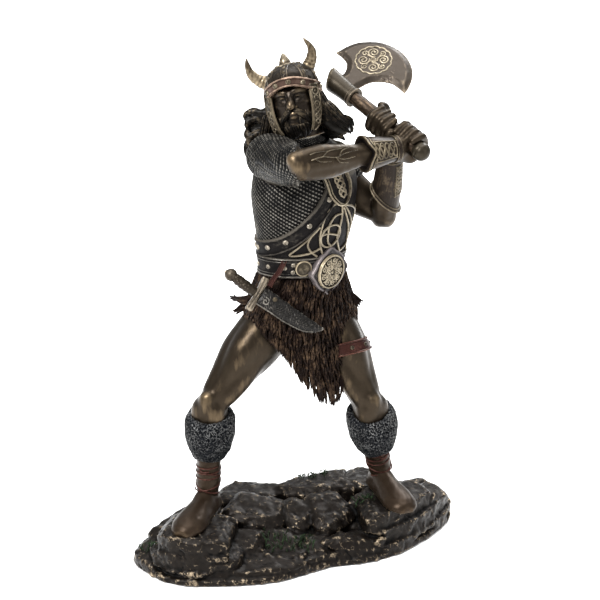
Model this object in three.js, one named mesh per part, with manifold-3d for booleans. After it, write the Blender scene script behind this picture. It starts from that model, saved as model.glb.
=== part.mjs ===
// A bronze-finished viking warrior swinging a two-handed axe, on an oval base of stacked rocks.
// Millimetres, +Z up. The origin is the middle of the base's flat underside, and -Y is the front.
// Right and left are the warrior's own.
import * as THREE from "three";
import { mergeVertices } from "three/addons/utils/BufferGeometryUtils.js";
import Module from "manifold-3d";

const wasm = await Module();
wasm.setup();

// Base: half length and half width of its oval, the turn of its long axis, the notch in its front edge
const BASE = { long: 98, short: 50, turn: 25, notchAt: 268, notchDepth: 0.11, sides: 26, rockTop: 27 };
const SOLE_Z = BASE.rockTop;

// Clearance between the fists and the axe
const GRIP_GAP = 0.3;

// Joint centres of the warrior
const JOINTS = {
  hipRight: [-12, -6, 138],
  hipLeft: [13, 7, 138],
  kneeRight: [-48, -24, 92],
  kneeLeft: [39.5, -8, 86],
  ankleRight: [-50.5, -21, 38],
  ankleLeft: [47, 7, 38],
  toeRight: [-63, -53, 31],
  toeLeft: [63, -30, 31],
  shoulderRight: [-15, -17, 226],
  shoulderLeft: [19.5, 20, 214],
  elbowRight: [3, -54, 234.5],
  elbowLeft: [46.8, 11, 191],
  wristRight: [51, -31, 237.3],
  wristLeft: [49, -9, 231],
  neck: [0, 0, 234],
  skull: [-2.1, -8, 259.5],
};

// The axe lies along a line through both fists. Grips are distances from its butt.
const AXE = {
  butt: [62.7, -34, 236.3],
  along: [-0.653, 0.636, 0.411],
  blade: [0.754, 0.491, 0.437],
  haftRadius: 3.9,
  haftSides: 12,
  pommelRadius: 5,
  gripRight: 10,
  gripLeft: 26.5,
  gripEnd: 48,
  thickness: 3.8,
};

const deg = THREE.MathUtils.degToRad;
const vec = (p) => (p.isVector3 ? p.clone() : new THREE.Vector3(...p));
const mix = (a, b, t) => vec(a).lerp(vec(b), t);
const around = (count, point) => Array.from({ length: count }, (_, j) => point((j / count) * 2 * Math.PI, j));

// A geometry, placed by a matrix, as a solid with its faces pointing out.
function solid(geometry, matrix = new THREE.Matrix4()) {
  const bare = new THREE.BufferGeometry();
  const open = geometry.index ? geometry.toNonIndexed() : geometry;
  bare.setAttribute("position", open.getAttribute("position").clone());
  bare.applyMatrix4(matrix);
  const merged = mergeVertices(bare, 1e-4);
  const vertProperties = merged.attributes.position.array;
  const make = (triVerts) =>
    new wasm.Manifold(new wasm.Mesh({ numProp: 3, vertProperties, triVerts }));
  const triVerts = new Uint32Array(merged.index.array);
  const made = make(triVerts);
  if (made.volume() > 0) return made;
  for (let i = 0; i < triVerts.length; i += 3)
    [triVerts[i + 1], triVerts[i + 2]] = [triVerts[i + 2], triVerts[i + 1]];
  return make(triVerts);
}

const join = (solids) => solids.flat(9).reduce((all, one) => all.add(one));

function geometryOf(manifold) {
  const mesh = manifold.getMesh();
  const geometry = new THREE.BufferGeometry();
  const points = new Float32Array((mesh.vertProperties.length / mesh.numProp) * 3);
  for (let i = 0; i < points.length / 3; i++)
    points.set(mesh.vertProperties.subarray(i * mesh.numProp, i * mesh.numProp + 3), i * 3);
  geometry.setAttribute("position", new THREE.BufferAttribute(points, 3));
  geometry.setIndex(new THREE.BufferAttribute(new Uint32Array(mesh.triVerts), 1));
  geometry.computeVertexNormals();
  return geometry;
}

// A closed skin over rings that all have the same number of points, with a fan at each end.
// In an endless skin the last ring runs on into the first one instead.
function skin(rings, endless = false) {
  const n = rings[0].length;
  const points = rings.flat();
  const [count, lastRing] = [points.length, points.length - n];
  const faces = [];
  for (let i = 0; i < rings.length - (endless ? 0 : 1); i++)
    for (let j = 0; j < n; j++) {
      const [a, b] = [i * n + j, i * n + ((j + 1) % n)];
      const [c, d] = [(a + n) % count, (b + n) % count];
      faces.push(a, b, d, a, d, c);
    }
  for (const start of endless ? [] : [0, lastRing]) {
    const ring = start ? rings.at(-1) : rings[0];
    points.push(ring.reduce((sum, p) => sum.add(p), new THREE.Vector3()).divideScalar(n));
    for (let j = 0; j < n; j++) {
      const [a, b] = [start + j, start + ((j + 1) % n)];
      faces.push(...(start ? [a, b] : [b, a]), points.length - 1);
    }
  }
  const geometry = new THREE.BufferGeometry();
  const positions = new Float32Array(points.flatMap((p) => p.toArray()));
  geometry.setAttribute("position", new THREE.BufferAttribute(positions, 3));
  geometry.setIndex(faces);
  return solid(geometry);
}

// A limb through stations {at, r: [side, front]}, where front is the way the second radius points.
// A domed limb ends in a rounded tip.
function limb(stations, { front = [0, -1, 0], sides = 10, domed = false } = {}) {
  const centres = new THREE.CatmullRomCurve3(stations.map((s) => vec(s.at)));
  const ring = (i, shift, scale) => {
    const tangent = centres.getTangent(i / (stations.length - 1));
    const side = vec(front).cross(tangent).normalize();
    const ahead = tangent.clone().cross(side);
    const [wide, deep] = stations[i].r;
    const centre = vec(stations[i].at).addScaledVector(tangent, shift * Math.min(wide, deep));
    return around(sides, (a) => centre.clone()
      .addScaledVector(side, wide * scale * Math.cos(a))
      .addScaledVector(ahead, deep * scale * Math.sin(a)));
  };
  const rings = stations.map((_, i) => ring(i, 0, 1));
  if (domed) rings.push(ring(stations.length - 1, 0.6, 0.6));
  return skin(rings);
}

// A lock of hair or fur: a tapered strand through points, thickest near its root.
function lock(points, radius, { sides = 4, steps = 4, flat = 0.7 } = {}) {
  const curve = new THREE.CatmullRomCurve3(points.map(vec));
  const frames = curve.computeFrenetFrames(steps);
  const rings = [];
  for (let i = 0; i < steps; i++) {
    const t = i / steps;
    const r = radius * Math.sqrt(1 - t) * (0.8 + 0.35 * Math.sin(Math.PI * t));
    const centre = curve.getPointAt(t);
    rings.push(around(sides, (a) => centre.clone()
      .addScaledVector(frames.normals[i], r * Math.cos(a))
      .addScaledVector(frames.binormals[i], r * flat * Math.sin(a))));
  }
  const tip = curve.getPointAt(1);
  rings.push(rings.at(-1).map((p) => tip.clone().lerp(p, 0.06)));
  return skin(rings);
}

// A tube of even thickness along points.
function tube(points, radius, { sides = 6, steps = 8 } = {}) {
  const section = around(sides, (a) => new THREE.Vector2(radius * Math.cos(a), radius * Math.sin(a)));
  const extrudePath = new THREE.CatmullRomCurve3(points.map(vec), false, "centripetal");
  return solid(new THREE.ExtrudeGeometry(new THREE.Shape(section), { steps, extrudePath, bevelEnabled: false }));
}

// A straight round bar from one point to another.
function bar(from, to, radius, sides) {
  const axis = vec(to).sub(vec(from));
  const geometry = new THREE.CylinderGeometry(radius, radius, axis.length(), sides).rotateX(Math.PI / 2);
  return solid(geometry, frameAt(mix(from, to, 0.5), [0, 0, 1], axis));
}

function ball(at, radii, { turn = [0, 0, 0], detail = [10, 7], frame = new THREE.Matrix4() } = {}) {
  const spin = new THREE.Quaternion().setFromEuler(new THREE.Euler(...turn.map(deg)));
  const own = new THREE.Matrix4().compose(vec(at), spin, vec(radii));
  return solid(new THREE.SphereGeometry(1, ...detail), frame.clone().multiply(own));
}

const roundBall = (at, radius, detail) => ball(at, [radius, radius, radius], { detail });

// A frame whose axes are given, for shapes drawn flat and then placed.
function frameAt(at, x, z) {
  const ez = vec(z).normalize();
  const ex = vec(x).addScaledVector(ez, -vec(x).dot(ez)).normalize();
  return new THREE.Matrix4().makeBasis(ex, ez.clone().cross(ex), ez).setPosition(vec(at));
}

// A flat outline in the frame's XY plane, made thick along its Z and centred on it.
function slab(outline, thickness, matrix, bevel = 0) {
  const geometry = new THREE.ExtrudeGeometry(new THREE.Shape(outline), {
    depth: thickness - 2 * bevel,
    bevelEnabled: bevel > 0,
    bevelThickness: bevel,
    bevelSize: bevel,
    bevelOffset: -bevel,
    bevelSegments: 1,
  });
  geometry.translate(0, 0, -thickness / 2 + bevel);
  return solid(geometry, matrix);
}

// A flat plate with four pointed lobes.
function lobedPlate(radius, lobe, thickness, matrix) {
  const reach = (i) => (i % 4 ? (i % 2 ? 0 : -lobe / 2) : lobe);
  const outline = around(16, (a, i) =>
    new THREE.Vector2((radius + reach(i)) * Math.cos(a), (radius + reach(i)) * Math.sin(a)));
  return slab(outline, thickness, matrix);
}

function roundPlate(profile, sides, matrix) {
  const lathe = new THREE.LatheGeometry(profile.map((p) => new THREE.Vector2(...p)), sides);
  return solid(lathe.rotateX(Math.PI / 2), matrix);
}

// Torso: elliptical sections that turn from the hips to the chest, as height, centre x, centre y,
// half width, half depth and the way it faces, in degrees towards +X
const TORSO = [
  [126, 1, 0, 20, 16, 30],
  [140, 1, 0, 26, 20, 35],
  [152, 1.2, 0, 25, 19.5, 42],
  [162, 1.5, 0, 24.5, 19, 46],
  [176, 2.2, 0, 26.5, 20, 48],
  [192, 3, 0, 30.5, 22.5, 50],
  [207, 3.2, 0.5, 32.5, 24, 50],
  [219, 3, 1.5, 31, 22, 50],
  [227, 1.8, 1.5, 26, 17, 45],
  [233, 0, 0, 17.5, 13, 35],
  [240, -1, -2.5, 10.5, 10.5, 20],
];
const TORSO_RINGS = { sides: 16, heights: [126, 142, 162, 184, 207, 219, 227, 233, 240] };

const catmullRom = (t, a, b, c, d) =>
  0.5 * (2 * b + (c - a) * t + (2 * a - 5 * b + 4 * c - d) * t ** 2 + (3 * b - a - 3 * c + d) * t ** 3);

function torsoSection(z) {
  const last = TORSO.length - 1;
  const above = TORSO.findIndex((row) => row[0] > z);
  const i = above < 0 ? last - 1 : Math.max(0, above - 1);
  const row = (k) => TORSO[THREE.MathUtils.clamp(k, 0, last)];
  const t = THREE.MathUtils.clamp((z - row(i)[0]) / (row(i + 1)[0] - row(i)[0]), 0, 1);
  return [1, 2, 3, 4, 5].map((k) => catmullRom(t, row(i - 1)[k], row(i)[k], row(i + 1)[k], row(i + 2)[k]));
}

// The point on the torso at an angle from its front (towards the warrior's left) and a height, raised by lift.
function onTorso(angle, z, lift = 0) {
  const [x, y, wide, deep, facing] = torsoSection(z);
  const [a, f] = [deg(angle), deg(facing)];
  const [side, ahead] = [(wide + lift) * Math.sin(a), (deep + lift) * Math.cos(a)];
  return vec([
    x + side * Math.cos(f) + ahead * Math.sin(f),
    y + side * Math.sin(f) - ahead * Math.cos(f),
    z,
  ]);
}

function torsoNormal(angle, z) {
  const across = onTorso(angle + 2, z).sub(onTorso(angle - 2, z));
  const up = onTorso(angle, z + 1).sub(onTorso(angle, z - 1));
  return across.cross(up).normalize();
}

function torsoBody() {
  const { sides, heights } = TORSO_RINGS;
  return skin(heights.map((z) => around(sides, (_, j) => onTorso((j / sides) * 360, z))));
}

// The rings of a strip round the torso, from angle a0 to a1, whose middle height is a function of the angle.
function strip(a0, a1, steps, height, { width, lift, depth }) {
  return Array.from({ length: steps + 1 }, (_, i) => {
    const angle = a0 + ((a1 - a0) * i) / steps;
    const [low, high] = [height(angle) - width / 2, height(angle) + width / 2];
    return [
      onTorso(angle, low, -depth), onTorso(angle, low, lift),
      onTorso(angle, high, lift), onTorso(angle, high, -depth),
    ];
  });
}

// Sash: the studded leather band from the right waist, over the belly, up to the left shoulder, and on
// over the back
const SASH = { low: 172, width: 8.6, lift: 1.6, depth: 1.5, lowest: -130, span: 145, reach: 150, steps: 18 };
const SASH_STUDS = [-76, -50, -30, -14, -3];
const STUD = { radius: 1.5, lift: 1, detail: [5, 2] };

const sashHeight = (angle) => {
  const t = Math.abs(angle - SASH.lowest) / SASH.span;
  return SASH.low + 10 * t + 40 * t ** 3.2;
};

const stud = (angle, z) => roundBall(onTorso(angle, z, STUD.lift), STUD.radius, STUD.detail);

// Breastplate: a leather panel below the sash, from the right side round the front to the left side
const PLATE = { from: -84, to: 100, foot: 166, top: 218, steps: 8, rows: 2, lift: 1, depth: 4 };

function breastplate() {
  const rings = [];
  for (let i = 0; i <= PLATE.steps; i++) {
    const angle = PLATE.from + ((PLATE.to - PLATE.from) * i) / PLATE.steps;
    const rise = (Math.min(PLATE.top, sashHeight(angle)) - PLATE.foot) / PLATE.rows;
    const column = (lift) =>
      Array.from({ length: PLATE.rows + 1 }, (_, k) => onTorso(angle, PLATE.foot + rise * k, lift));
    rings.push([...column(PLATE.lift), ...column(-PLATE.depth).reverse()]);
  }
  const { lowest, reach, steps } = SASH;
  const sash = skin(strip(lowest - reach, lowest + reach, steps, sashHeight, SASH));
  return [skin(rings), sash, SASH_STUDS.map((angle) => stud(angle, sashHeight(angle))), knotwork()];
}

// Knotwork: two raised cords that cross as an arch on the belly, and a looped cord through them
const KNOT = { middle: 6, foot: 171, height: 32, spread: 30, loopAt: 182, loop: [16, 6], radius: 1, lift: 1.1 };

function knotwork() {
  const place = ([angle, z]) => onTorso(angle, z, KNOT.lift);
  const arches = [-1, 1].map((side) => {
    const path = Array.from({ length: 7 }, (_, i) => {
      const t = i / 6;
      const sideways = KNOT.spread * Math.sin(Math.PI * t * 0.9) - 4 * t;
      return place([KNOT.middle + side * sideways, KNOT.foot + KNOT.height * t]);
    });
    return tube(path, KNOT.radius, { sides: 3, steps: 5 });
  });
  const [wide, high] = KNOT.loop;
  const loop = around(8, (a) => {
    const centre = place([KNOT.middle + wide * Math.cos(a), KNOT.loopAt + high * Math.sin(a)]);
    const outward = torsoNormal(KNOT.middle + wide * Math.cos(a), KNOT.loopAt);
    const ahead = outward.clone().cross(vec([0, 0, 1])).multiplyScalar(-Math.cos(a)).add(vec([0, 0, Math.sin(a)]));
    return [-0.5, 0, 0.5].map((across) => centre.clone()
      .addScaledVector(ahead, across * 2 * KNOT.radius)
      .addScaledVector(outward, KNOT.radius * (across ? -0.5 : 1)));
  });
  return [...arches, skin(loop, true)];
}

// Belt with its lobed buckle, its disc and its keeper studs
const BELT = { middle: 163.8, rise: 2.6, highAt: -20, width: 11, lift: 1.9, depth: 1.5, steps: 15 };
const BUCKLE = { at: -2, radius: 11.2, lobe: 2, thickness: 2.6 };
const BELT_DISC_AT = -38;
const BELT_STUDS = [-54, -84];

const beltHeight = (angle) => BELT.middle + BELT.rise * Math.cos(deg(angle - BELT.highAt));

function belt() {
  const rings = strip(0, 360 - 360 / (BELT.steps + 1), BELT.steps, beltHeight, BELT);
  const plateAt = (angle, lift) => {
    const z = beltHeight(angle);
    return frameAt(onTorso(angle, z, BELT.lift + lift), [0, 0, 1], torsoNormal(angle, z));
  };
  return [
    skin(rings, true),
    lobedPlate(BUCKLE.radius, BUCKLE.lobe, BUCKLE.thickness, plateAt(BUCKLE.at, 0.9)),
    roundPlate([[0, -1], [9, -1], [9, 1.4], [0, 2.4]], 12, plateAt(BUCKLE.at, 1.6)),
    roundPlate([[0, -1.5], [4, -1.5], [4, 0.6], [0, 1.2]], 8, plateAt(BELT_DISC_AT, 0.2)),
    BELT_STUDS.map((angle) => stud(angle, beltHeight(angle))),
  ];
}

// Fur kilt: a skirt whose hem drops to a point in front and, less, behind, and ends in pointed locks
const KILT = { top: 159, side: 139, front: 48, back: 20, flare: 4.5, depth: 7.5, fringe: 6.5, locks: 15, hips: 141 };
const KILT_TUFTS = [
  [[-20, -12, 152], [-30, -11, 148], [-37.5, -9.5, 149.5]],
  [[-20, -8, 147], [-29, -7, 143], [-35, -6, 139]],
  [[20, 4, 150], [29, 4, 144.5], [35, 4, 140.5]],
  [[20, 1, 146], [26, 1, 138], [30, 1, 133]],
];

function hemHeight(angle) {
  const front = Math.exp(-(((angle - 8) / (angle < 8 ? 54 : 40)) ** 2));
  const back = Math.exp(-(((((angle + 360) % 360) - 180) / 42) ** 2));
  return KILT.side - KILT.front * front - KILT.back * back;
}

// The point on the kilt at an angle, a share t of its height down, raised by lift.
function onKilt(angle, t, lift) {
  const hem = hemHeight(angle > 180 ? angle - 360 : angle) + KILT.fringe;
  const z = THREE.MathUtils.lerp(KILT.top, hem, t);
  const flare = 0.8 + KILT.flare * Math.sin((t * Math.PI) / 2);
  return onTorso(angle, Math.max(z, KILT.hips), lift + flare).setZ(z);
}

function kilt() {
  const fur = around(KILT.locks * 2, (_, j) => {
    const angle = (j / KILT.locks) * 180;
    const pointed = j % 2;
    const sway = 3 * Math.sin(j * 2.4);
    const drop = pointed ? KILT.fringe + 1.5 * Math.sin(j * 1.7) : 1;
    const ridge = pointed ? 1.1 : -0.5;
    return [
      onKilt(angle, 0, -KILT.depth),
      onKilt(angle, 0, -0.4),
      onKilt(angle, 0.5, ridge),
      onKilt(angle + sway, 1, ridge * 0.6).add(vec([0, 0, -drop])),
      onKilt(angle, 1, -KILT.depth),
    ];
  });
  return [skin(fur, true), KILT_TUFTS.map((tuft) => lock(tuft, 4.6, { steps: 3 }))];
}

// Legs: bare thighs and knees, fleece cuffs, and boots
const LEGS = [
  { hip: "hipRight", knee: "kneeRight", ankle: "ankleRight", toe: "toeRight", front: [-0.35, -0.93, 0.1] },
  { hip: "hipLeft", knee: "kneeLeft", ankle: "ankleLeft", toe: "toeLeft", front: [0.5, -0.86, 0.1] },
];

// Share of the way from hip to knee, how far the muscle stands ahead, and the radii [side, front]
const THIGH = [
  [-0.02, 0, [15.2, 16.5]],
  [0.3, 1.5, [14.6, 16]],
  [0.58, 1.6, [11.8, 13.4]],
  [0.82, 0.8, [8.8, 10]],
  [1, 0.8, [8, 9.2]],
];
const SHIN_TOP = [0.3, [8, 8]];
const BOOT_SHAFT = [[0.64, [7.2, 7.6]], [0.84, [6.8, 7.2]], [1.08, [7, 8]]];

// Distance ahead of the ankle, half width, and height above the sole
const FOOT = [
  [-8, 3.6, 9], [-6, 5.8, 14], [4, 6.8, 16], [15, 8.4, 11], [25, 9.4, 8.6], [31, 8.2, 7], [35.5, 4.6, 4.4],
];
// The foot's cross-section, as shares of its half width and height
const FOOT_SECTION = [[-0.85, 0], [-1, 0.25], [-0.8, 0.68], [0, 1], [0.8, 0.68], [1, 0.25], [0.85, 0]];

// Fleece cuff: share of the way from knee to ankle, and radius
const FLEECE = [[0.17, 7.8], [0.12, 11.4], [0.26, 13.3], [0.44, 12.9], [0.67, 9], [0.68, 6.5]];
const THIGH_STRAP = [[0.38, -2], [0.38, 1], [0.48, 0.2], [0.48, -2]];

// The axes of a cross-section on the line from a to b.
function sectionAxes(a, b, front) {
  const tangent = vec(b).sub(vec(a)).normalize();
  const side = vec(front).cross(tangent).normalize();
  return { tangent, side, ahead: tangent.clone().cross(side) };
}

function leg({ hip, knee, ankle, toe, front }) {
  const [h, k, a, t] = [hip, knee, ankle, toe].map((name) => JOINTS[name]);
  const ahead = vec(front).normalize();
  const stations = THIGH.map(([share, push, r]) => ({ at: mix(h, k, share).addScaledVector(ahead, push), r }));
  const [shinShare, shinRadii] = SHIN_TOP;
  stations.push({ at: mix(k, a, shinShare), r: shinRadii });
  return [limb(stations, { front }), fleece(k, a, front), boot(k, a, t, front)];
}

function fleece(knee, ankle, front) {
  const { tangent, side, ahead } = sectionAxes(knee, ankle, front);
  return skin(FLEECE.map(([share, radius], i) => around(11, (turn, j) => {
    const tuft = i > 0 && i < FLEECE.length - 1 ? 0.6 * Math.sin(j * 2.7 + i * 2.1) : 0;
    return mix(knee, ankle, share)
      .addScaledVector(tangent, i < 2 ? 1.6 * Math.sin(turn) : 0)
      .addScaledVector(side, (radius + tuft) * Math.cos(turn))
      .addScaledVector(ahead, (radius + tuft) * Math.sin(turn));
  })));
}

function boot(knee, ankle, toe, front) {
  const shaft = BOOT_SHAFT.map(([share, r]) => ({ at: mix(knee, ankle, share), r }));
  const direction = vec(toe).sub(vec(ankle)).setZ(0).normalize();
  const side = vec([0, 0, 1]).cross(direction);
  const foot = FOOT.map(([distance, wide, high]) => {
    const centre = vec([ankle[0], ankle[1], SOLE_Z]).addScaledVector(direction, distance);
    return FOOT_SECTION.map(([s, u]) => centre.clone().addScaledVector(side, s * wide).add(vec([0, 0, u * high])));
  });
  return [limb(shaft, { front, sides: 9 }), skin(foot)];
}

function thighStrap() {
  const [hip, knee] = [JOINTS.hipLeft, vec(JOINTS.kneeLeft).add(vec([6, 0, 0]))];
  const { side, ahead } = sectionAxes(hip, knee, LEGS[1].front);
  return skin(THIGH_STRAP.map(([share, lift]) => around(14, (turn) =>
    mix(hip, JOINTS.kneeLeft, share)
      .addScaledVector(side, (13.4 + lift) * Math.cos(turn))
      .addScaledVector(ahead, 1.6 + (14.8 + lift) * Math.sin(turn)))));
}

// Arms: share of the way from joint to joint, a shift in millimetres, and the radii [side, front]
const ARMS = {
  right: {
    shoulder: { radius: 13.2, neck: [-4, -3, 233] },
    upper: [
      [0, [1, 1, -0.5], [12.8, 13.4]],
      [0.18, [-1, 0, 0], [13, 13.6]],
      [0.5, [0, 0, 0], [11.6, 12.6]],
      [0.8, [0, 0, 0], [9.8, 11]],
    ],
    elbow: [[0.7, [0, 0, 0], [8.8, 9.6]], [0.98, [-0.5, 0, 0], [8.4, 9]]],
    fore: [[0.12, [0, 0, 0], [9, 9.4]], [0.35, [0, 0, 0], [8.6, 9.6]], [0.7, [0, 0, 0], [7, 7.4]]],
    bracer: { from: 0.62, radius: 8.6 },
    front: [0, 0, 1],
  },
  left: {
    shoulder: { radius: 12.3, neck: [4, 3, 232] },
    upper: [
      [0, [-1, 0, 0], [11.7, 12.2]],
      [0.2, [0, 0, -2], [11.6, 12]],
      [0.45, [0, 0, -4], [9.8, 10]],
      [0.8, [0, 0, -2], [8.6, 8.8]],
      [1, [0, 0, 0], [7.6, 7.8]],
    ],
    elbow: [],
    fore: [[-0.04, [0, 0, 0], [6.6, 6.8]], [0.16, [0, 0, 0], [7.3, 7.7]], [0.3, [0, 0, 0], [7, 7.4]]],
    bracer: { from: 0.2, radius: 8.1 },
    front: [1, 0, 0],
  },
};

// Radius of the slope of the neck where it starts towards the shoulders
const NECK_FOOT = 9;

// Bracer: share of its length, and how its radius stands to that of its flared rim
const BRACER = [[0, -1.5], [0, 0.8], [0.08, 0.8], [0.1, 0]];
const BRACER_WRIST = [[0.55, 7], [1, 6], [1.02, 3]];

function bracer(from, to, front, rim) {
  const { side, ahead } = sectionAxes(from, to, front);
  const profile = [...BRACER.map(([share, lift]) => [share, rim + lift]), ...BRACER_WRIST];
  return skin(profile.map(([share, r]) => around(12, (turn) =>
    mix(from, to, share).addScaledVector(side, r * Math.cos(turn)).addScaledVector(ahead, r * Math.sin(turn)))));
}

function arm(shape, shoulder, elbow, wrist) {
  const station = (from, to) => ([share, shift, r]) => ({ at: mix(from, to, share).add(vec(shift)), r });
  const fore = [...shape.elbow.map(station(shoulder, elbow)), ...shape.fore.map(station(elbow, wrist))];
  const cuff = mix(elbow, wrist, shape.bracer.from);
  const { radius, neck } = shape.shoulder;
  const inside = radius - 1.5;
  return [
    roundBall(shoulder, radius, [12, 7]),
    limb([{ at: vec(neck), r: [NECK_FOOT, NECK_FOOT] }, { at: vec(shoulder), r: [inside, inside] }], { sides: 8 }),
    limb(shape.upper.map(station(shoulder, elbow)), { front: [0, 0, 1] }),
    limb(fore, { front: shape.front }),
    bracer(cuff, wrist, shape.front, shape.bracer.radius),
  ];
}

function arms() {
  const { shoulderRight, elbowRight, wristRight, shoulderLeft, elbowLeft, wristLeft } = JOINTS;
  return [
    arm(ARMS.right, shoulderRight, elbowRight, wristRight),
    arm(ARMS.left, shoulderLeft, elbowLeft, wristLeft),
  ];
}

// Hands: a palm beside the haft, four fingers side by side as one ridged shape round it, and a thumb
const HAND = { width: 15, finger: 4, groove: 1.3, ridges: 9, reach: 235 };
// Share of the fingers' curl, and thickness
const FINGERS = [[0, 0.6], [0.1, 1], [0.4, 1.05], [0.7, 1], [0.95, 0.95], [1, 0.6]];

// The point a distance s along the haft, at an angle round it from the blade, and a distance out.
function aroundHaft(s, angle, radius) {
  const [haft, blade] = [vec(AXE.along), vec(AXE.blade)];
  const across = blade.clone().cross(haft).normalize();
  return vec(AXE.butt).addScaledVector(haft, s)
    .addScaledVector(blade, radius * Math.cos(deg(angle)))
    .addScaledVector(across, radius * Math.sin(deg(angle)));
}

// palmTurn is the angle round the haft of the middle of the palm, and way is the direction of the fingers' curl.
function hand(grip, palmTurn, way, wrist) {
  const [inner, outer] = [AXE.haftRadius - 1.2, AXE.haftRadius + HAND.finger];
  const fingers = FINGERS.map(([share, thick]) => {
    const turn = palmTurn + way * (10 + share * HAND.reach);
    const across = Array.from({ length: HAND.ridges }, (_, i) => {
      const s = grip + (i / (HAND.ridges - 1) - 0.5) * HAND.width;
      const height = HAND.finger - (i % 2 ? 0 : HAND.groove);
      return aroundHaft(s, turn, AXE.haftRadius + height * thick);
    });
    const edge = (side) => aroundHaft(grip + (side * HAND.width) / 2, turn, inner);
    return [edge(-1), ...across, edge(1)];
  });
  const palm = aroundHaft(grip, palmTurn, AXE.haftRadius + 3.4);
  const front = aroundHaft(0, palmTurn + 90, 1).sub(aroundHaft(0, 0, 0)).toArray();
  const thumb = [2.5, 2.25, 2].map((radius, i) =>
    ({ at: aroundHaft(grip + 5.5 + i * 0.8, palmTurn - way * (25 + i * 45), outer - 1.2), r: [radius, radius] }));
  const back = [
    { at: palm, r: [HAND.width / 2, 4.4] },
    { at: mix(palm, wrist, 0.5), r: [6.6, 5] },
    { at: wrist, r: [5.6, 5.2] },
  ];
  return [
    skin(fingers),
    limb(back, { front, sides: 8 }),
    limb(thumb, { front: AXE.along, sides: 5, domed: true }),
  ];
}

function hands() {
  return [
    hand(AXE.gripRight, 250, 1, JOINTS.wristRight),
    hand(AXE.gripLeft, 290, -1, JOINTS.wristLeft),
  ];
}

// Head, in its own frame: x to the left, -y ahead, z up, origin in the middle of the skull
const HEAD_FRAME = new THREE.Matrix4()
  .makeRotationFromEuler(new THREE.Euler(deg(-8), deg(-14), deg(-8), "ZYX"))
  .setPosition(vec(JOINTS.skull));
const inHead = (p) => vec(p).applyMatrix4(HEAD_FRAME);

// Centre, radii, tilt and detail of each form of the head
const HEAD_FORMS = {
  skull: [[0, 0.5, 0.5], [11.6, 13, 12], 0, [9, 6]],
  jaw: [[0, -4, -6], [9.6, 9.4, 10.6], 0, [9, 6]],
  brow: [[0, -11.6, 2.6], [8, 2.4, 1.7], 0, [5, 3]],
  nose: [[0, -13.8, -4], [2, 2.8, 4.4], -18, [5, 3]],
  lip: [[0, -11.6, -10.2], [3.6, 2.4, 1.8], 0, [5, 3]],
};
const NECK = [{ at: inHead([0, 3, -6]), r: [9.5, 9.5] }, { at: JOINTS.neck, r: [11.5, 11.5] }];

// Curtains of hair: half width, half depth, centre y and height of each row
const BEARD = [[10.4, 10.8, 0.5, -6], [10.2, 12.6, 0.5, -11], [7, 11.6, -0.5, -16.5]];
const MANE = [[12.2, 14, 0.5, 2], [14.5, 17, 1, -9], [18.5, 19, 2.5, -18], [21.5, 20.5, 4.5, -26]];
const MOUSTACHE = [[0.4, -14, -7.4], [3.8, -13.8, -8.4], [6, -11.8, -12.5]];
const CURLS = [
  [[8, -3, 262], [11.5, -2, 252], [16.5, 0, 246.5], [23, 1, 247.5], [29.5, 1.5, 245]],
  [[6, 0, 250], [14, 2, 243], [21, 3, 241.5], [28.5, 3, 242.5]],
  [[-8, -1, 257], [-18, -3, 249], [-24, -2, 250], [-29.5, -2, 246.5]],
  [[-7, 1, 248], [-20, 0, 244], [-27, -1, 242], [-28.5, -2, 237.5]],
  [[-5, 2, 241], [-20, 2, 239], [-28.5, 0, 233], [-28, -2, 228.5]],
];

// A curtain of hair from angle -reach to reach about the middle of the face, or of the back of the head, its
// lower edge ragged with locks.
function curtain(rows, middle, reach, locks, thick) {
  const steps = locks * 2;
  return skin(Array.from({ length: steps + 1 }, (_, j) => {
    const a = deg(middle + reach * ((2 * j) / steps - 1));
    const pointed = j % 2;
    const place = ([rx, ry, cy, z], k, inward) => {
      const swell = (pointed ? 0.7 : -0.4) - inward;
      const hem = k === rows.length - 1 && !inward;
      const drop = hem ? (pointed ? 1.8 : -3.2) + Math.sin(j * 2.3) : 0;
      return inHead([(rx + swell) * Math.sin(a), cy - (ry + swell) * Math.cos(a), z - drop]);
    };
    const outer = rows.map((row, k) => place(row, k, 0));
    const inner = rows.map((row, k) => place(row, k, thick));
    return [...outer, ...inner.reverse()];
  }));
}

function head() {
  const forms = Object.values(HEAD_FORMS).map(([at, radii, tilt, detail]) =>
    ball(at, radii, { turn: [tilt, 0, 0], detail, frame: HEAD_FRAME }));
  const moustache = [-1, 1].map((side) =>
    lock(MOUSTACHE.map(([x, y, z]) => inHead([side * x, y, z])), 2.1, { steps: 3 }));
  return [forms, limb(NECK, { sides: 9 }), curtain(BEARD, 0, 84, 5, 4.5), moustache];
}

const hair = () => [curtain(MANE, 180, 112, 6, 10), CURLS.map((curl) => lock(curl, 4.4))];

// Helmet: a ribbed dome over a riveted brow band, a spike, two horns and two cheek guards
const HELMET = {
  wide: 13.3,
  deep: 15.2,
  centreY: 0.6,
  top: 17.4,
  sides: 15,
  dome: [[0.93, 0.42], [0.74, 0.74], [0.46, 0.93], [0.14, 1]],
  band: { height: 5, lift: 1.3, depth: 2 },
  rib: 1,
  rivets: [-72, -36, 0, 36, 72],
  spike: { at: [-0.6, -2, 19], radius: 2, height: 6.4 },
};
const HORNS = [
  {
    points: [[-8.7, 1.5, 8], [-14.4, 0.4, 10.4], [-18.4, -1.4, 14.2], [-19.9, -3, 18.8], [-19.4, -4.9, 24.4]],
    radius: 4.3,
  },
  {
    points: [[6.2, 3.2, 9.5], [10.4, 3, 13.6], [13.4, 1.9, 18.4], [13.8, 0.6, 22.8], [11.5, -1.3, 28.4]],
    radius: 4.1,
  },
];
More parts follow.
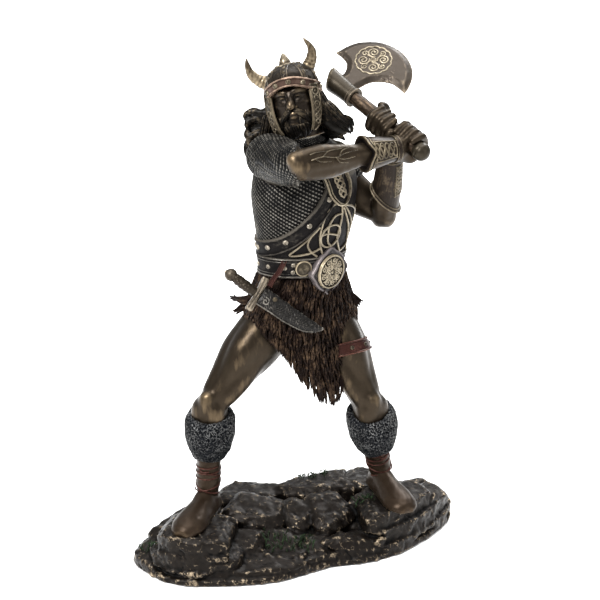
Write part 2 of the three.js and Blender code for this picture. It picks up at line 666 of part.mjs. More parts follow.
// Place of the left one, half width and half thickness, from the band down
const CHEEK_GUARD = [
  [[12.6, -6.4, 2.5], [2.8, 1]],
  [[12.2, -8, -5], [2.7, 1]],
  [[10.4, -9.2, -12], [2.4, 1]],
  [[7.4, -9.6, -17], [1.4, 1]],
];

const browHeight = (a) => 4.2 - 1.5 * Math.sin(a) - 4.5 * Math.cos(a) ** 2;

function helmetShell(onOval) {
  const { sides, band, rib, top, dome } = HELMET;
  const ring = (point) => around(sides, (a, j) => inHead(point(a - Math.PI / 2, j)));
  const bandTop = (a) => browHeight(a) + band.height;
  const ribbed = (share, height) => ring((a, j) => onOval(a, share, j % 3 ? 0 : rib, height(a)));
  return skin([
    ring((a) => onOval(a, 1, -band.depth, browHeight(a))),
    ring((a) => onOval(a, 1, band.lift, browHeight(a))),
    ring((a) => onOval(a, 1, band.lift, bandTop(a))),
    ribbed(1, (a) => bandTop(a) + 0.2),
    ...dome.map(([share, rise]) => ribbed(share, (a) => THREE.MathUtils.lerp(bandTop(a), top, rise))),
  ]);
}

function helmet() {
  const { wide, deep, centreY, band, rivets, spike } = HELMET;
  const onOval = (a, share, lift, z) =>
    [(wide * share + lift) * Math.cos(a), centreY + (deep * share + lift) * Math.sin(a), z];
  const rivet = (turn) => {
    const a = deg(turn - 90);
    return roundBall(inHead(onOval(a, 1, band.lift, browHeight(a) + band.height / 2)), 1.3, STUD.detail);
  };
  const spikeFrame = HEAD_FRAME.clone().multiply(new THREE.Matrix4().makeTranslation(...spike.at));
  const cone = new THREE.ConeGeometry(spike.radius, spike.height, 6).rotateX(Math.PI / 2);
  const guards = [-1, 1].map((side) => {
    const front = vec([side, -0.35, 0]).transformDirection(HEAD_FRAME).toArray();
    const stations = CHEEK_GUARD.map(([[x, y, z], r]) => ({ at: inHead([side * x, y, z]), r }));
    return limb(stations, { front, sides: 6 });
  });
  const horns = HORNS.map(({ points, radius }) => lock(points.map(inHead), radius, { sides: 7, steps: 6, flat: 1 }));
  return [helmetShell(onOval), rivets.map(rivet), solid(cone, spikeFrame), guards, horns];
}

// Knife in its scabbard, slung from the belt across the right hip. Its own shapes run along x from the guard.
const KNIFE = { guard: [-21.5, -28, 157.6], tip: [13.3, -31, 137.5], face: [0.12, -0.95, 0.3] };
const SCABBARD = { mouth: 1, thickness: 3.8, bevel: 0.8, half: 4.9, belly: 6.2, tipAt: 1.5 };
const KNIFE_GUARD = { half: 1.9, above: 8.6, below: 9.2, thickness: 4.6, bevel: 0.5 };
const KNIFE_HANDLE = { points: [[-1, 0, 0], [-9, 0.6, 0], [-16, 1.4, 0]], radius: 2.7 };
const KNIFE_POMMEL = { at: [-17.2, 1.6, 0], radius: 3.4 };
const KNIFE_STRAP = [[-13.6, -28.5, 163.6], [-9.5, -26.5, 169.5], [-5, -22.6, 175]];
const KNIFE_HOLDERS = [[[-13, -25, 160], [-8, -20, 156]], [[2, -29, 146], [4, -20, 147]]];

function knife() {
  const length = vec(KNIFE.tip).distanceTo(vec(KNIFE.guard));
  const matrix = frameAt(KNIFE.guard, vec(KNIFE.tip).sub(vec(KNIFE.guard)), KNIFE.face);
  const place = (p) => vec(p).applyMatrix4(matrix);
  const { mouth, half, belly, tipAt } = SCABBARD;
  const scabbard = new THREE.Path().moveTo(mouth, -half).lineTo(length * 0.5, -belly)
    .quadraticCurveTo(length * 0.82, -half * 1.1, length, tipAt).lineTo(mouth, half);
  const { half: across, above, below } = KNIFE_GUARD;
  const guard = [[-across, -below], [across, -below], [across, above], [-across, above]];
  return [
    slab(scabbard.getPoints(6), SCABBARD.thickness, matrix, SCABBARD.bevel),
    slab(guard.map((p) => new THREE.Vector2(...p)), KNIFE_GUARD.thickness, matrix, KNIFE_GUARD.bevel),
    tube(KNIFE_HANDLE.points.map(place), KNIFE_HANDLE.radius, { sides: 8, steps: 2 }),
    roundBall(place(KNIFE_POMMEL.at), KNIFE_POMMEL.radius, [7, 5]),
    tube(KNIFE_STRAP, 1.5, { sides: 4, steps: 3 }),
    KNIFE_HOLDERS.map(([from, to]) => bar(from, to, 4, 6)),
  ];
}

// Axe: a crescent blade on a sleeve, a haft and a ball pommel. The blade's outline is given as distance along
// the haft from its butt, and distance from the haft towards the cutting edge.
const BLADE = {
  edge: [
    [81.6, 14.3], [79.6, 25.5], [73.5, 33.7], [66, 38.2], [56.5, 39.7],
    [47.5, 37.4], [40.6, 32.4], [36.4, 26.5], [34.1, 20.6],
  ],
  lowerNeck: [[34.1, 20.6], [39.5, 21], [45, 20.2], [49.6, 16.9], [52.8, 12.5], [54, 5]],
  root: [[54, 0], [68, 0]],
  upperNeck: [[70, 1.5], [67.5, 6], [68.1, 9.2], [70.8, 12.6], [75, 14.2], [81.6, 14.3]],
  bevel: 1.2,
};
const SLEEVE = { from: 50.5, to: 68, radius: 5.3, tip: 73.4 };
const ORNAMENT = { at: [62.1, 24.1, 0], radius: 9.6, lobe: 1, proud: 0.6 };

const axeFrame = () => frameAt(AXE.butt, AXE.along, vec(AXE.along).cross(vec(AXE.blade)));
const onAxe = (p) => vec(p).applyMatrix4(axeFrame());

function smooth(points, count) {
  const curve = new THREE.SplineCurve(points.map((p) => new THREE.Vector2(...p)));
  return curve.getPoints(count).slice(0, -1);
}

// The sleeve round the haft, whose head end slants to a beak on the blade's side.
function sleeve() {
  const profile = [[SLEEVE.from, 0.95], [SLEEVE.from + 1, 1], [SLEEVE.to, 1], [SLEEVE.to + 2.6, 0.75]];
  return skin(profile.map(([distance, share]) => around(12, (a) => {
    const beak = distance > SLEEVE.to - 1 ? (SLEEVE.tip - SLEEVE.to) * 0.5 * Math.cos(a) : 0;
    const radius = SLEEVE.radius * share;
    return onAxe([distance + beak, radius * Math.cos(a), radius * Math.sin(a)]);
  })));
}

function axe() {
  const outline = [
    ...smooth(BLADE.edge, 18),
    ...smooth(BLADE.lowerNeck, 7),
    ...BLADE.root.map((p) => new THREE.Vector2(...p)),
    ...smooth(BLADE.upperNeck, 8),
  ];
  const ornamentFrame = axeFrame().multiply(new THREE.Matrix4().makeTranslation(...ORNAMENT.at));
  return join([
    slab(outline, AXE.thickness, axeFrame(), BLADE.bevel),
    sleeve(),
    bar(onAxe([1, 0, 0]), onAxe([SLEEVE.to, 0, 0]), AXE.haftRadius, AXE.haftSides),
    roundBall(AXE.butt, AXE.pommelRadius, [12, 8]),
    lobedPlate(ORNAMENT.radius, ORNAMENT.lobe, AXE.thickness + 2 * ORNAMENT.proud, ornamentFrame),
  ]);
}

// Base: an oval plinth covered with overlapping slabs of rock
// Share of the oval, height, and how ragged the ring is
const PLINTH = [[0.985, 0, 0.02], [1, 2.5, 0.02], [0.95, 7, 0.03], [0.8, 9.5, 0.04], [0.5, 13, 0.05]];
const TRIM = [[1, 0, 0.02], [1.01, 40, 0.02]];

// Top centre, half length, half width and depth, turn, tilts and corners of each slab. The first two are flat
// and carry the feet.
const ROCKS = [
  [[-56, -41, BASE.rockTop], [23, 22, 20], 10, [0, 0], 10],
  [[57, -5, BASE.rockTop], [27, 25, 20], 20, [0, 0], 10],
  [[-24, -14, 26], [19, 14, 22], 5, [9, 3], 7],
  [[-30, 10, 25], [22, 14, 22], 25, [-3, 3], 7],
  [[0, -13, 23], [11, 12, 18], 10, [14, -3], 7],
  [[18, -11, 24.5], [15, 15, 18], 10, [16, 4], 7],
  [[10, 18, 27], [25, 14, 22], 20, [-2, -2], 7],
  [[36, 26, 26], [20, 15, 22], 25, [-7, 2], 7],
  [[-31, -36, 16], [14, 12, 13], 5, [14, -4], 6],
  [[-10, -31, 13.5], [14, 10, 11], 0, [16, 3], 6],
  [[10, -33, 11.5], [10, 9, 9], 30, [18, -8], 6],
  [[36, -27, 14], [22, 9, 11], 24, [20, 2], 6],
  [[-26, -48, 8.5], [32, 8, 6], 0, [14, -1], 7],
  [[-66, -14, 19], [20, 14, 16], 35, [-8, -8], 6],
  [[-82, -36, 9], [12, 14, 7], 20, [6, -12], 6],
  [[76, 16, 19.5], [14, 18, 16], -20, [-4, 10], 7],
  [[83, 22, 10.5], [13, 20, 9], -15, [-4, 10], 6],
  [[58, 36, 15], [20, 10, 12], 25, [-14, 0], 6],
  [[2, 34, 15], [26, 10, 12], 25, [-16, 0], 6],
  [[62, -22, 13], [20, 8, 9], 28, [20, 2], 6],
];

function baseRing([scale, z, ragged]) {
  const turn = deg(BASE.turn);
  return around(BASE.sides, (a) => {
    const notch = BASE.notchDepth * Math.exp(-(((a - deg(BASE.notchAt)) / 0.2) ** 2));
    const r = scale * (1 - notch + ragged * (0.6 * Math.sin(5 * a + 1) + 0.4 * Math.sin(9 * a)));
    const [x, y] = [BASE.long * r * Math.cos(a), BASE.short * r * Math.sin(a)];
    return vec([x * Math.cos(turn) - y * Math.sin(turn), x * Math.sin(turn) + y * Math.cos(turn), z]);
  });
}

function rock([at, [long, wide, depth], turn, tilt, corners], index) {
  const seed = index + 1;
  const matrix = new THREE.Matrix4()
    .makeRotationFromEuler(new THREE.Euler(deg(tilt[0]), deg(tilt[1]), deg(turn), "ZYX"))
    .setPosition(vec(at));
  const ring = (scale, z) => around(corners, (angle, j) => {
    const a = angle + 0.2 * Math.sin(seed * 3 + j * 2.1);
    const r = scale * (1 + 0.12 * Math.sin(seed * 5.3 + j * 2.7));
    return vec([long * r * Math.cos(a), wide * r * Math.sin(a), z]).applyMatrix4(matrix);
  });
  const bevelled = corners > 6;
  return skin(bevelled ? [ring(1.05, -depth), ring(1, -1.6), ring(0.88, 0)] : [ring(1.08, -depth), ring(0.96, 0)]);
}

function rockBase() {
  const whole = join([skin(PLINTH.map(baseRing)), ...ROCKS.map(rock)]);
  return whole.intersect(skin(TRIM.map(baseRing)));
}

function warrior() {
  const whole = join([
    torsoBody(), breastplate(), belt(), kilt(), LEGS.map(leg), thighStrap(),
    arms(), hands(), head(), helmet(), hair(), knife(),
  ]);
  const bore = bar(onAxe([-6, 0, 0]), onAxe([AXE.gripEnd, 0, 0]), AXE.haftRadius + GRIP_GAP, AXE.haftSides);
  const knob = roundBall(AXE.butt, AXE.pommelRadius + GRIP_GAP, [12, 8]);
  return whole.subtract(bore).subtract(knob);
}

const bronze = new THREE.MeshStandardMaterial({ color: 0x5a4a38, roughness: 0.45, metalness: 0.7 });
const warmSteel = new THREE.MeshStandardMaterial({ color: 0x6b6254, roughness: 0.4, metalness: 0.7 });
const darkRock = new THREE.MeshStandardMaterial({ color: 0x35302a, roughness: 0.65, metalness: 0.4 });

function piece(name, manifold, material) {
  const mesh = new THREE.Mesh(geometryOf(manifold), material);
  mesh.name = name;
  return mesh;
}

const statue = new THREE.Group();
statue.add(
  piece("warrior", warrior(), bronze),
  piece("battle_axe", axe(), warmSteel),
  piece("rock_base", rockBase(), darkRock),
);

export default statue;
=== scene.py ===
import math

import bpy
import numpy as np
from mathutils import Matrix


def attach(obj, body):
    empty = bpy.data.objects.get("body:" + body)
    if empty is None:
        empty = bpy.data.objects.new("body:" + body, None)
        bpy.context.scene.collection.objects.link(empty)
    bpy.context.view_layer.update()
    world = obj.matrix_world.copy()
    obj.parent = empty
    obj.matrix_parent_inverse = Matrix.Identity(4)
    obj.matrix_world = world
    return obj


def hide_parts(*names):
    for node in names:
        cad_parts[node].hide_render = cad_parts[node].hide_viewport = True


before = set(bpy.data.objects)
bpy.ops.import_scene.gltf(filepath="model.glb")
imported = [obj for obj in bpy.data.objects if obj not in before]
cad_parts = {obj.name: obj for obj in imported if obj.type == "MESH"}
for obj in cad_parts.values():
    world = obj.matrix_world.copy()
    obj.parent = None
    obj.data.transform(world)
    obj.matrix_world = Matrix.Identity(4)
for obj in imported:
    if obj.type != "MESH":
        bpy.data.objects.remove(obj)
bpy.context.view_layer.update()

import openvdb
from mathutils import Matrix, Vector

# Lengths below are millimetres in the row frame, as in the record: +Z up, -Y is the front.
MM = 0.001

# Camera at the photograph's viewing angle
VIEW = {"target": (1, -8, 147), "distance": 850, "elevation": 19.2, "lens": 93.6}


def make_camera():
    camera = bpy.data.objects.new("camera", bpy.data.cameras.new("camera"))
    bpy.context.scene.collection.objects.link(camera)
    camera.data.lens = VIEW["lens"]
    camera.data.sensor_width = 36
    tilt = math.radians(VIEW["elevation"])
    back = Vector((0, -math.cos(tilt), math.sin(tilt))) * VIEW["distance"]
    camera.location = (Vector(VIEW["target"]) + back) * MM
    camera.rotation_euler = (-back).to_track_quat("-Z", "Y").to_euler()
    bpy.context.scene.camera = camera


make_camera()

# Joint centres, the same as the solids have
JOINTS = {
    "hip_right": (-12, -6, 138),
    "hip_left": (13, 7, 138),
    "knee_right": (-48, -24, 92),
    "knee_left": (39.5, -8, 86),
    "ankle_right": (-50.5, -21, 38),
    "ankle_left": (47, 7, 38),
    "toe_right": (-63, -53, 31),
    "toe_left": (63, -30, 31),
    "shoulder_right": (-15, -17, 226),
    "shoulder_left": (19.5, 20, 214),
    "elbow_right": (3, -54, 234.5),
    "elbow_left": (46.8, 11, 191),
    "wrist_right": (51, -31, 237.3),
    "wrist_left": (49, -9, 231),
    "skull": (-2.1, -8, 259.5),
}
JOINTS = {name: np.array(place, float) for name, place in JOINTS.items()}
SOLE_Z = 27
UP = np.array((0, 0, 1.0))


# Vectors and curves

def unit(v):
    v = np.asarray(v, float)
    return v / np.maximum(np.linalg.norm(v, axis=-1, keepdims=True), 1e-9)


def mix(a, b, t):
    return np.asarray(a, float) * (1 - t) + np.asarray(b, float) * t


def smooth_step(x, lo, hi):
    t = np.clip((x - lo) / (hi - lo), 0, 1)
    return t * t * (3 - 2 * t)


def cubic(a, b, c, d, t):
    """A share t of the way from b to c on a smooth curve that also passes a and d."""
    return 0.5 * (2 * b + (c - a) * t + (2 * a - 5 * b + 4 * c - d) * t**2 + (3 * b - a - 3 * c + d) * t**3)


def catmull(points, count, closed=False):
    """count points along a smooth curve through the given ones."""
    p = np.asarray(points, float)
    n = len(p)
    u = np.linspace(0, n if closed else n - 1, count, endpoint=not closed)
    i = np.minimum(u.astype(int), n - 1 if closed else n - 2)
    t = (u - i)[:, None]
    if closed:
        return cubic(*(p[(i + k) % n] for k in (-1, 0, 1, 2)), t)
    whole = np.vstack([2 * p[0] - p[1], p, 2 * p[-1] - p[-2]])
    return cubic(*(whole[i + k] for k in range(4)), t)


def full_turn(count):
    """Angles evenly spaced round a circle."""
    return np.arange(count) / count * 2 * math.pi


def polar(radius, angle):
    """Points (x, y) at distances and angles from the origin."""
    return np.stack([radius * np.cos(angle), radius * np.sin(angle)], -1)


def tangents(path, closed=False):
    if closed:
        return unit(np.roll(path, -1, 0) - np.roll(path, 1, 0))
    return unit(np.gradient(path, axis=0))


def axes_across(path, up=None, closed=False):
    """Side and top directions at each point of a path. The top keeps to up, or else turns as little as it can."""
    tangent = tangents(path, closed)
    if up is None:
        first = np.eye(3)[np.argmin(np.abs(tangent[0]))]
        side = [unit(np.cross(tangent[0], first))]
        for t in tangent[1:]:
            side.append(unit(side[-1] - t * np.dot(side[-1], t)))
        side = np.array(side)
    else:
        side = unit(np.cross(tangent, up))
    return side, np.cross(side, tangent)


# Noise, the same on every run

def lattice(ix, iy, iz, seed):
    h = (ix * 374761393 + iy * 668265263 + iz * 2147483647 + seed * 974634777) & 0xFFFFFFFF
    h = ((h ^ (h >> 13)) * 1274126177) & 0xFFFFFFFF
    return ((h ^ (h >> 16)) & 0xFFFF) / 65535.0


# Turns the noise's grid off the axes, so that its rows don't show
NOISE_TURN = np.array(Matrix.Rotation(0.7, 3, "X") @ Matrix.Rotation(0.9, 3, "Z") @ Matrix.Rotation(0.5, 3, "Y"))


def noise(p, size, seed=0):
    """Smooth value noise from -1 to 1 at points p, with features of the given size."""
    q = np.asarray(p, float) @ NOISE_TURN / size
    cell = np.floor(q).astype(np.int64)
    f = q - cell
    f = f * f * (3 - 2 * f)
    total = 0
    for dx in (0, 1):
        for dy in (0, 1):
            for dz in (0, 1):
                weight = 1.0
                for axis, d in enumerate((dx, dy, dz)):
                    weight = weight * (f[..., axis] if d else 1 - f[..., axis])
                value = lattice(cell[..., 0] + dx, cell[..., 1] + dy, cell[..., 2] + dz, seed)
                total = total + weight * value
    return 2 * total - 1


def rough(p, size, octaves=3, seed=0):
    total = 0
    for k in range(octaves):
        total = total + noise(p, size / 2**k, seed + 11 * k) / 2**k
    return total


def cells(p, size, seed=0):
    """Distance to the nearest of scattered points, in cell sizes, and to the second nearest."""
    q = np.asarray(p, float) / size
    cell = np.floor(q).astype(np.int64)
    near = np.full(q.shape[:-1], 9.0)
    second = near.copy()
    for dx in (-1, 0, 1):
        for dy in (-1, 0, 1):
            for dz in (-1, 0, 1):
                c = [cell[..., axis] + d for axis, d in enumerate((dx, dy, dz))]
                gap = 0
                for axis in range(3):
                    gap = gap + (c[axis] + lattice(*c, seed + axis) - q[..., axis]) ** 2
                gap = np.sqrt(gap)
                second = np.minimum(second, np.maximum(near, gap))
                near = np.minimum(near, gap)
    return near, second


# Meshes are kept as (points, four-cornered faces, three-cornered faces)

NO_TRIS = np.zeros((0, 3), int)


def patch(points, closed_u=False, closed_v=False, caps=False):
    """A grid of points (u, v, 3) as a surface. With caps, its first and last rows are closed by fans."""
    n, m = points.shape[:2]
    index = np.arange(n * m).reshape(n, m)
    if closed_u:
        index = np.vstack([index, index[:1]])
    if closed_v:
        index = np.hstack([index, index[:, :1]])
    quads = np.stack([index[:-1, :-1], index[:-1, 1:], index[1:, 1:], index[1:, :-1]], -1).reshape(-1, 4)
    flat = points.reshape(-1, 3)
    tris = NO_TRIS
    if caps:
        ends = np.array([points[0].mean(0), points[-1].mean(0)])
        first, last = index[0], index[-1]
        tris = np.vstack([
            np.stack([first[1:], first[:-1], np.full(len(first) - 1, n * m)], -1),
            np.stack([last[:-1], last[1:], np.full(len(last) - 1, n * m + 1)], -1),
        ])
        flat = np.vstack([flat, ends])
    return flat, quads, tris


def merged(parts):
    points, quads, tris, offset = [], [], [], 0
    for p, q, t in parts:
        points.append(p)
        quads.append(q + offset)
        tris.append(t + offset)
        offset += len(p)
    return np.vstack(points), np.vstack(quads), np.vstack(tris)


def grid_normals(points):
    """Normals of a grid whose rows are closed."""
    along_row = np.roll(points, -1, 1) - np.roll(points, 1, 1)
    return unit(np.cross(along_row, np.gradient(points, axis=0)))


def swept(centre, side, top, section, wide=1.0, high=1.0):
    """A grid of points: at each centre a section (side, top), scaled by wide and high."""
    wide, high = (np.broadcast_to(size, len(centre))[:, None, None] for size in (wide, high))
    side, top = (np.broadcast_to(way, centre.shape)[:, None] for way in (side, top))
    return centre[:, None] + side * section[None, :, :1] * wide + top * section[None, :, 1:] * high


def tube(points):
    """A closed surface over a grid of rings, whose faces look outwards."""
    return patch(points[:, ::-1], closed_v=True, caps=True)


def circle(sides):
    return polar(1.0, full_turn(sides))


def turned(degrees, axis):
    return Matrix.Rotation(math.radians(degrees), 4, axis)


def shifted(matrix, offset):
    """A frame moved by an offset along its own axes."""
    return matrix @ np.array(Matrix.Translation(offset))


def ribbon(path, normal, section, closed=False):
    """A closed section (across, out) swept along a path that lies on a surface with the given normals."""
    tangent = tangents(path, closed)
    side = unit(np.cross(tangent, normal))
    points = swept(path, side, np.cross(side, tangent), section)
    return patch(points, closed_u=closed, closed_v=True, caps=not closed)


def rimmed(width, lift, rim=1.1, proud=0.5, depth=1.5):
    """The section of a strap with a raised round rim along each edge."""
    half = width / 2
    a = np.linspace(math.pi, 0, 9)
    left = np.stack([-half + rim / 2 + rim / 2 * np.cos(a), lift - 0.3 + (proud + 0.3) * np.sin(a)], -1)
    inner = np.linspace(-half + rim + 0.2, half - rim - 0.2, 9)
    middle = np.stack([inner, np.full(9, lift - 0.25)], -1)
    right = left[::-1] * (-1, 1)
    return np.vstack([[(-half, -depth)], left, middle, right, [(half, -depth)]])


def spiral(centre, radius, turns, start, way, steps):
    """A flat spiral that winds inwards, anticlockwise where way is 1."""
    t = np.linspace(0, 1, steps)
    return polar(radius * (1 - 0.88 * t), start + way * turns * 2 * math.pi * t) + centre


def cord_on(matrix, path, radius, z, count=None, closed=False, sides=6, bulge=0.0):
    """A cord along a path drawn flat in a frame, a height z above it. bulge is the frame's falling off."""
    path = np.asarray(path, float)
    if count:
        path = catmull(path, count, closed)
    height = z - bulge * np.sum(path**2, -1)
    path = np.column_stack([path, height]) @ matrix[:3, :3].T + matrix[:3, 3]
    return cord(path, radius, sides, closed=closed, up=matrix[:3, 2])


def rivet(at, normal, radius):
    return lathe(dome_profile(radius, radius * 0.8, 0.5, 6), 12, frame_at(at, (0.3, 0.2, 1), normal))


def cord(path, radius, sides=8, closed=False, up=None, height=None):
    """A cord along a path, round unless it has a height of its own."""
    side, top = axes_across(path, up, closed)
    points = swept(path, side, top, circle(sides), radius, radius if height is None else height)
    return patch(points[:, ::-1], closed_u=closed, closed_v=True, caps=not closed)


def lathe(profile, sides, matrix):
    """A profile of (radius, height) turned round Z, placed by a matrix."""
    radius, height = np.asarray(profile, float).T[:, :, None]
    x, y = circle(sides).T
    return moved(tube(np.stack([radius * x, radius * y, height + 0 * x], -1)), matrix)


def dome_profile(radius, height, foot, steps=7):
    a = np.linspace(0, math.pi / 2, steps)
    return [(radius, -foot)] + [(radius * math.cos(x), height * math.sin(x)) for x in a[:-1]] + [(0.02, height)]


def ball_profile(radius, height, steps, gap):
    """A ball's outline from its lower pole to its upper one, each left open by a small angle."""
    return [(radius * math.sin(x), -height * math.cos(x)) for x in np.linspace(gap, math.pi - gap, steps)]


def moved(part, matrix):
    points, quads, tris = part
    matrix = np.asarray(matrix)
    return points @ matrix[:3, :3].T + matrix[:3, 3], quads, tris


def frame_at(at, x, z):
    z = unit(z)
    x = unit(np.asarray(x, float) - z * np.dot(x, z))
    matrix = np.eye(4)
    matrix[:3, 0], matrix[:3, 1], matrix[:3, 2], matrix[:3, 3] = x, np.cross(z, x), z, at
    return matrix


def plate(outline, layers, matrix):
    """A closed outline, stacked in layers of (inset, height) into a bevelled plate."""
    outline = np.asarray(outline, float)
    tangent = tangents(outline, closed=True)
    inward = np.stack([-tangent[:, 1], tangent[:, 0]], -1)
    x, y = outline.T
    if np.sum(x * np.roll(y, -1) - np.roll(x, -1) * y) < 0:
        inward = -inward
    rings = [np.column_stack([outline + inward * inset, np.full(len(outline), z)]) for inset, z in layers]
    return moved(tube(np.array(rings)), matrix)


def outline_distance(outline, u, v):
    """Distance of points (u, v) from a closed outline, negative inside."""
    best, inside = np.inf, np.zeros(np.broadcast(u, v).shape, bool)
    for a, b in zip(outline, np.roll(outline, -1, 0)):
        e = b - a
        t = np.clip(((u - a[0]) * e[0] + (v - a[1]) * e[1]) / max(e @ e, 1e-9), 0, 1)
        best = np.minimum(best, (u - a[0] - t * e[0]) ** 2 + (v - a[1] - t * e[1]) ** 2)
        if a[1] != b[1]:
            crossing = u < e[0] * (v - a[1]) / e[1] + a[0]
            inside ^= ((a[1] <= v) != (b[1] <= v)) & crossing
    return np.sqrt(best) * np.where(inside, -1.0, 1.0)


class Clay:
    """A block of distances in millimetres, that forms are added to and cut from."""
    FAR = 6.0

    def __init__(self, lo, hi, voxel):
        self.lo, self.voxel = np.asarray(lo, float), voxel
        self.axes = [np.arange(a, b, voxel, dtype=np.float32) for a, b in zip(lo, hi)]
        self.field = np.full([len(a) for a in self.axes], self.FAR, np.float32)

    def work(self, lo, hi, distance, blend, cut=False):
        """Adds or cuts a form within a box, given its distance at x, y and z."""
        margin = blend + 2.5
        span = tuple(slice(*np.searchsorted(a, (low - margin, high + margin)))
                     for a, low, high in zip(self.axes, lo, hi))
        if min(s.stop - s.start for s in span) <= 0:
            return
        x, y, z = (a[s] for a, s in zip(self.axes, span))
        d = distance(x[:, None, None], y[None, :, None], z[None, None, :])
        old = -self.field[span] if cut else self.field[span]
        h = np.maximum(blend - np.abs(old - d), 0) / blend
        new = np.minimum(old, d) - h * h * blend * 0.25
        self.field[span] = -new if cut else new

    def cone(self, a, b, ra, rb, blend=2.0, cut=False):
        """A tapered round limb from a to b."""
        a, b = np.asarray(a, float), np.asarray(b, float)
        ab = b - a
        length2 = max(float(ab @ ab), 1e-9)

        def distance(x, y, z):
            px, py, pz = x - a[0], y - a[1], z - a[2]
            t = np.clip((px * ab[0] + py * ab[1] + pz * ab[2]) / length2, 0, 1)
            qx, qy, qz = px - t * ab[0], py - t * ab[1], pz - t * ab[2]
            return np.sqrt(qx * qx + qy * qy + qz * qz) - (ra + t * (rb - ra))

        reach = max(ra, rb)
        self.work(np.minimum(a, b) - reach, np.maximum(a, b) + reach, distance, blend, cut)

    def chain(self, points, radii, blend=1.0, steps=10):
        """Cones along a smooth curve, with the radii spread evenly over its length."""
        path = catmull(points, steps)
        width = np.interp(np.linspace(0, 1, steps), np.linspace(0, 1, len(radii)), radii)
        for a, b, ra, rb in zip(path[:-1], path[1:], width[:-1], width[1:]):
            self.cone(a, b, ra, rb, blend)

    def egg(self, at, radii, turn=np.eye(3), blend=2.0, cut=False):
        """An ellipsoid whose axes are the columns of turn."""
        at, r = np.asarray(at, float), np.asarray(radii, float)

        def distance(x, y, z):
            px, py, pz = x - at[0], y - at[1], z - at[2]
            k0 = k1 = 0
            for axis in range(3):
                u = px * turn[0, axis] + py * turn[1, axis] + pz * turn[2, axis]
                k0 = k0 + (u / r[axis]) ** 2
                k1 = k1 + (u / r[axis] ** 2) ** 2
            k0 = np.sqrt(k0)
            return k0 * (k0 - 1) / np.maximum(np.sqrt(k1), 1e-6)

        reach = r.max()
        self.work(at - reach, at + reach, distance, blend, cut)

    def slab(self, outline, matrix, half, bevel=1.0, edge=0.4, blend=0.3):
        """A flat outline in a frame's XY plane, half is half its thickness and edge that at its bevelled rim."""
        outline = np.asarray(outline, float)
        inverse = np.linalg.inv(matrix)
        corners = np.vstack([np.column_stack([outline, np.full(len(outline), z)]) for z in (-half, half)])
        corners = corners @ matrix[:3, :3].T + matrix[:3, 3]

        def distance(x, y, z):
            u, v, w = (inverse[k, 0] * x + inverse[k, 1] * y + inverse[k, 2] * z + inverse[k, 3] for k in range(3))
            flat = outline_distance(outline, u, v)
            thick = edge + (half - edge) * np.clip(-flat / bevel, 0, 1)
            return np.maximum(np.abs(w) - thick, flat) * 0.9

        self.work(corners.min(0), corners.max(0), distance, blend)

    def mesh(self):
        grid = openvdb.FloatGrid()
        grid.background = self.FAR
        grid.copyFromArray(np.ascontiguousarray(self.field))
        points, tris, quads = grid.convertToPolygons(isovalue=0.0, adaptivity=0.0)
        points = self.lo + points.astype(float) * self.voxel
        return points, quads.astype(int)[:, ::-1], tris.astype(int)[:, ::-1] if len(tris) else NO_TRIS


# Pieces

def edges_of(quads, tris):
    pairs = [quads[:, [k, (k + 1) % 4]] for k in range(4)] + [tris[:, [k, (k + 1) % 3]] for k in range(3)]
    pairs = np.sort(np.vstack(pairs), 1)
    return np.unique(pairs, axis=0)


def vertex_normals(points, quads, tris):
    total = np.zeros_like(points)
    for faces in (quads, tris):
        if len(faces) == 0:
            continue
        a, b, c, d = (points[faces[:, k]] for k in (0, 1, 2, -1))
        n = np.cross(c - a, d - b) if faces.shape[1] == 4 else np.cross(b - a, c - a)
        for corner in faces.T:
            for axis in range(3):
                total[:, axis] += np.bincount(corner, n[:, axis], len(points))
    return unit(total)


def relief_of(points, quads, tris, rounds):
    """How far each point stands above the surface round it, in millimetres."""
    edges = edges_of(quads, tris)
    both = np.vstack([edges, edges[:, ::-1]])
    count = np.maximum(np.bincount(both[:, 0], minlength=len(points)), 1)
    soft = points
    for _ in range(rounds):
        pulled = [np.bincount(both[:, 0], soft[both[:, 1], axis], len(points)) for axis in range(3)]
        soft = np.stack(pulled, -1) / count[:, None]
    normal = vertex_normals(points, quads, tris)
    return np.sum((points - soft) * normal, -1)


def facing_out(part):
    """The part with its faces turned outwards, told by the sign of its volume."""
    points, quads, tris = part
    corners = np.vstack([quads[:, :3], quads[:, [0, 2, 3]], tris])
    a, b, c = (points[corners[:, k]] for k in range(3))
    if np.sum(a * np.cross(b, c)) < 0:
        return points, quads[:, ::-1], tris[:, ::-1]
    return part


def piece(name, parts, material, node="warrior", rounds=6):
    points, quads, tris = merged([facing_out(part) for part in (parts if isinstance(parts, list) else [parts])])
    mesh = bpy.data.meshes.new(name)
    loops = np.concatenate([quads.ravel(), tris.ravel()]).astype(np.int32)
    starts = np.concatenate([np.arange(len(quads)) * 4, len(quads) * 4 + np.arange(len(tris)) * 3])
    mesh.vertices.add(len(points))
    mesh.vertices.foreach_set("co", (points * MM).astype(np.float32).ravel())
    mesh.loops.add(len(loops))
    mesh.loops.foreach_set("vertex_index", loops)
    mesh.polygons.add(len(starts))
    mesh.polygons.foreach_set("loop_start", starts.astype(np.int32))
    mesh.update(calc_edges=True)
    relief = mesh.attributes.new("relief", "FLOAT", "POINT")
    relief.data.foreach_set("value", relief_of(points, quads, tris, rounds).astype(np.float32))
    mesh.validate()
    mesh.shade_smooth()
    mesh.materials.append(material)
    obj = bpy.data.objects.new(name, mesh)
    bpy.context.scene.collection.objects.link(obj)
    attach(obj, "root")
    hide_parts(node)


# Materials: a dark cast metal whose raised parts are rubbed bright and whose hollows stay dark. On the skin and the
# face the bright raised parts are partly a painted highlight, and the face's darker body is painted shade.

# How the rubbing (on the skin and the face partly a painted highlight) and the darkening follow from the relief: a
# factor and an offset
WEAR_AND_HIGHLIGHT = (1.35, -0.22)
HOLLOWED = (-1.6, -0.05)


